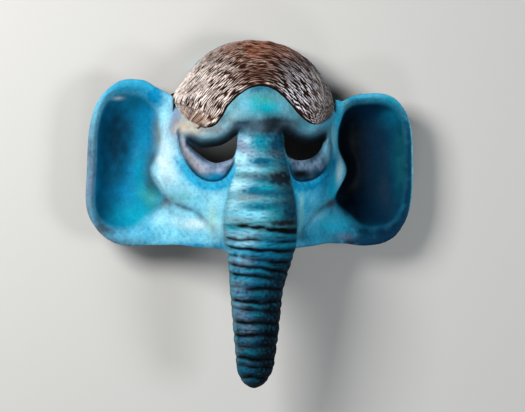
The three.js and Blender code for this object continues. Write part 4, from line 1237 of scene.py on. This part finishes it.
def paint_material(name, mottle, speck, grain):
    """Painted surface: the mesh's own colours, mottled and speckled in object space, with a fine grain.

    The grain and the roughness fall off where the mesh's gloss rises.
    """
    material = bpy.data.materials.new(name)
    material.use_nodes = True
    nodes, links = material.node_tree.nodes, material.node_tree.links
    shader = nodes["Principled BSDF"]
    shader.inputs["Specular IOR Level"].default_value = SPECULAR

    def node(kind, inputs, **settings):
        """Outputs of a new node, each of whose inputs is given a value or another node's output."""
        made = nodes.new(kind)
        for key, value in settings.items():
            setattr(made, key, value)
        for socket, value in inputs.items():
            if isinstance(value, bpy.types.NodeSocket):
                links.new(value, made.inputs[socket])
            else:
                made.inputs[socket].default_value = value
        return made.outputs

    def noise(scale, detail, roughness):
        """Noise over object space, about 0.3 to 0.7."""
        inputs = {"Vector": place, "Scale": scale, "Detail": detail, "Roughness": roughness}
        return node("ShaderNodeTexNoise", inputs)["Fac"]

    def scaled(value, low, high, to_low, to_high):
        """Straight scale that takes low to to_low and high to to_high, and holds beyond them."""
        return node("ShaderNodeMapRange", {0: value, 1: low, 2: high, 3: to_low, 4: to_high})[0]

    def times(colour, factor):
        """Colour times a factor."""
        return node("ShaderNodeVectorMath", {0: colour, "Scale": factor}, operation="SCALE")[0]

    def bumped(height, distance, **more):
        """Normal tilted by the slope of a height, with the grain's strength."""
        inputs = {"Strength": rough, "Distance": distance, "Height": height, **more}
        return node("ShaderNodeBump", inputs)["Normal"]

    place = node("ShaderNodeTexCoord", {})["Object"]
    paint = node("ShaderNodeAttribute", {}, attribute_name="paint")["Color"]
    shine = node("ShaderNodeAttribute", {}, attribute_name="gloss")["Fac"]
    cloud, fleck, tooth = noise(*CLOUD_NOISE), noise(*FLECK_NOISE), noise(*TOOTH_NOISE)
    mottled = times(paint, scaled(cloud, 0.3, 0.72, 1 - mottle, 1 + mottle))
    grained = times(mottled, scaled(fleck, 0.36, 0.66, 1 - 0.9 * mottle, 1 + 0.9 * mottle))
    specked = times(grained, scaled(fleck, 0.62, 0.68, 1.0, 1 - speck))
    links.new(specked, shader.inputs["Base Color"])
    plain = scaled(shine, 0.0, MOST_GLOSS, MATT, SHINY)
    worn = node("ShaderNodeMath", {0: fleck, 1: FLECK_ROUGHNESS, 2: plain}, operation="MULTIPLY_ADD")[0]
    links.new(worn, shader.inputs["Roughness"])
    rough = scaled(shine, 0.3, 0.65, grain, 0.15 * grain)
    flecked = bumped(fleck, FLECK_HEIGHT)
    links.new(bumped(tooth, TOOTH_HEIGHT, Normal=flecked), shader.inputs["Normal"])
    return material


# Pieces

trunk = make_tube("trunk", 0, TUBE_MOUTH, *TUBE_GRID)
hollow = make_tube("hollow", WALL, CORE_MOUTH, *CORE_GRID)
eye_cuts = [(make_eye_cutter(line), "DIFFERENCE") for line in eye_lines]
shell_mesh = joined(make_shell(), [(trunk, "UNION"), (hollow, "DIFFERENCE"), *eye_cuts])
heal_paint(shell_mesh)
painted_skin = paint_material("painted_skin", mottle=0.15, speck=0.55, grain=0.8)
finish_piece("mask_shell", shell_mesh, painted_skin, sharp_angle=60)
painted_hair = paint_material("painted_hair", mottle=0.2, speck=0.3, grain=0.9)
finish_piece("combed_hair", make_hair(), painted_hair, sharp_angle=75)


# Floor, light and camera

# Half the floor's side in metres, its paint, and the light of the sky
FLOOR_HALF = 4
FLOOR_COLOUR, FLOOR_ROUGHNESS = (0.5, 0.5, 0.49, 1), 0.85
SKY_COLOUR, SKY_STRENGTH = (0.75, 0.82, 0.9, 1), 0.07
# Point that every lamp faces
LAMP_TARGET = np.array([0, 0.03, 0.08])
# The photograph looks at the face from 8 degrees to its left and 3 degrees towards the crown
CAMERA_LEFT, CAMERA_UP, CAMERA_DISTANCE = 8, 3, 3.916
CAMERA_TARGET = np.array([0.00715, 0.00935, 0.100])
CAMERA_LENS, CAMERA_SENSOR, CAMERA_CLIP = 244, 36, (0.1, 30)


def direction(azimuth, elevation):
    """Unit vector towards a point: azimuth turns from +x to +y, elevation rises out of the floor."""
    a, e = math.radians(azimuth), math.radians(elevation)
    return np.array([math.cos(a) * math.cos(e), math.sin(a) * math.cos(e), math.sin(e)])


def look(piece, eye, target, up):
    """Places a lamp or camera at eye, facing the target, with up towards the top of its picture."""
    back = (eye - target) / np.linalg.norm(eye - target)
    side = np.cross(up, back)
    side /= np.linalg.norm(side)
    turn = np.eye(4)
    turn[:3, 0], turn[:3, 1], turn[:3, 2], turn[:3, 3] = side, np.cross(back, side), back, eye
    piece.matrix_world = Matrix(turn.tolist())


def soft_box(name, azimuth, elevation, distance, width, height, power, colour):
    """Rectangular lamp that faces the mask from a direction and a distance."""
    lamp = bpy.data.lights.new(name, "AREA")
    lamp.shape = "RECTANGLE"
    lamp.size, lamp.size_y = width, height
    lamp.energy, lamp.color = power, colour
    eye = LAMP_TARGET + direction(azimuth, elevation) * distance
    look(add_object(name, lamp), eye, LAMP_TARGET, np.array([0.0, 0.2, 1.0]))


def pale_floor():
    """Flat square floor with a plain matt paint."""
    mesh = bpy.data.meshes.new("floor")
    corners = [(x * FLOOR_HALF, y * FLOOR_HALF, 0) for x, y in ((-1, -1), (1, -1), (1, 1), (-1, 1))]
    mesh.from_pydata(corners, [], [(0, 1, 2, 3)])
    paint = bpy.data.materials.new("pale_floor")
    paint.use_nodes = True
    inputs = paint.node_tree.nodes["Principled BSDF"].inputs
    inputs["Base Color"].default_value = FLOOR_COLOUR
    inputs["Roughness"].default_value = FLOOR_ROUGHNESS
    mesh.materials.append(paint)
    return add_object("floor", mesh)


pale_floor()

# Azimuth and elevation in degrees, distance, width and height in metres, power in watts, and colour
soft_box("key", 146, 44, 1.5, 0.6, 0.6, 32, (1.0, 0.98, 0.95))
soft_box("front", 262, 50, 1.9, 0.6, 0.4, 6, (0.95, 0.98, 1.0))
soft_box("side", 350, 52, 1.9, 0.6, 0.6, 14, (0.95, 0.98, 1.0))

world = bpy.data.worlds.new("studio")
bpy.context.scene.world = world
world.use_nodes = True
sky = world.node_tree.nodes["Background"].inputs
sky["Color"].default_value = SKY_COLOUR
sky["Strength"].default_value = SKY_STRENGTH

lift = math.radians(CAMERA_UP)
towards = direction(180, 90 - CAMERA_LEFT) * math.cos(lift) + np.array([0, math.sin(lift), 0])
camera = bpy.data.cameras.new("camera")
camera.lens, camera.sensor_width = CAMERA_LENS, CAMERA_SENSOR
camera.clip_start, camera.clip_end = CAMERA_CLIP
camera_piece = add_object("camera", camera)
look(camera_piece, CAMERA_TARGET + towards * CAMERA_DISTANCE, CAMERA_TARGET, np.array([0.0, 1.0, 0.0]))
bpy.context.scene.camera = camera_piece
bpy.context.scene.view_settings.view_transform = "Standard"
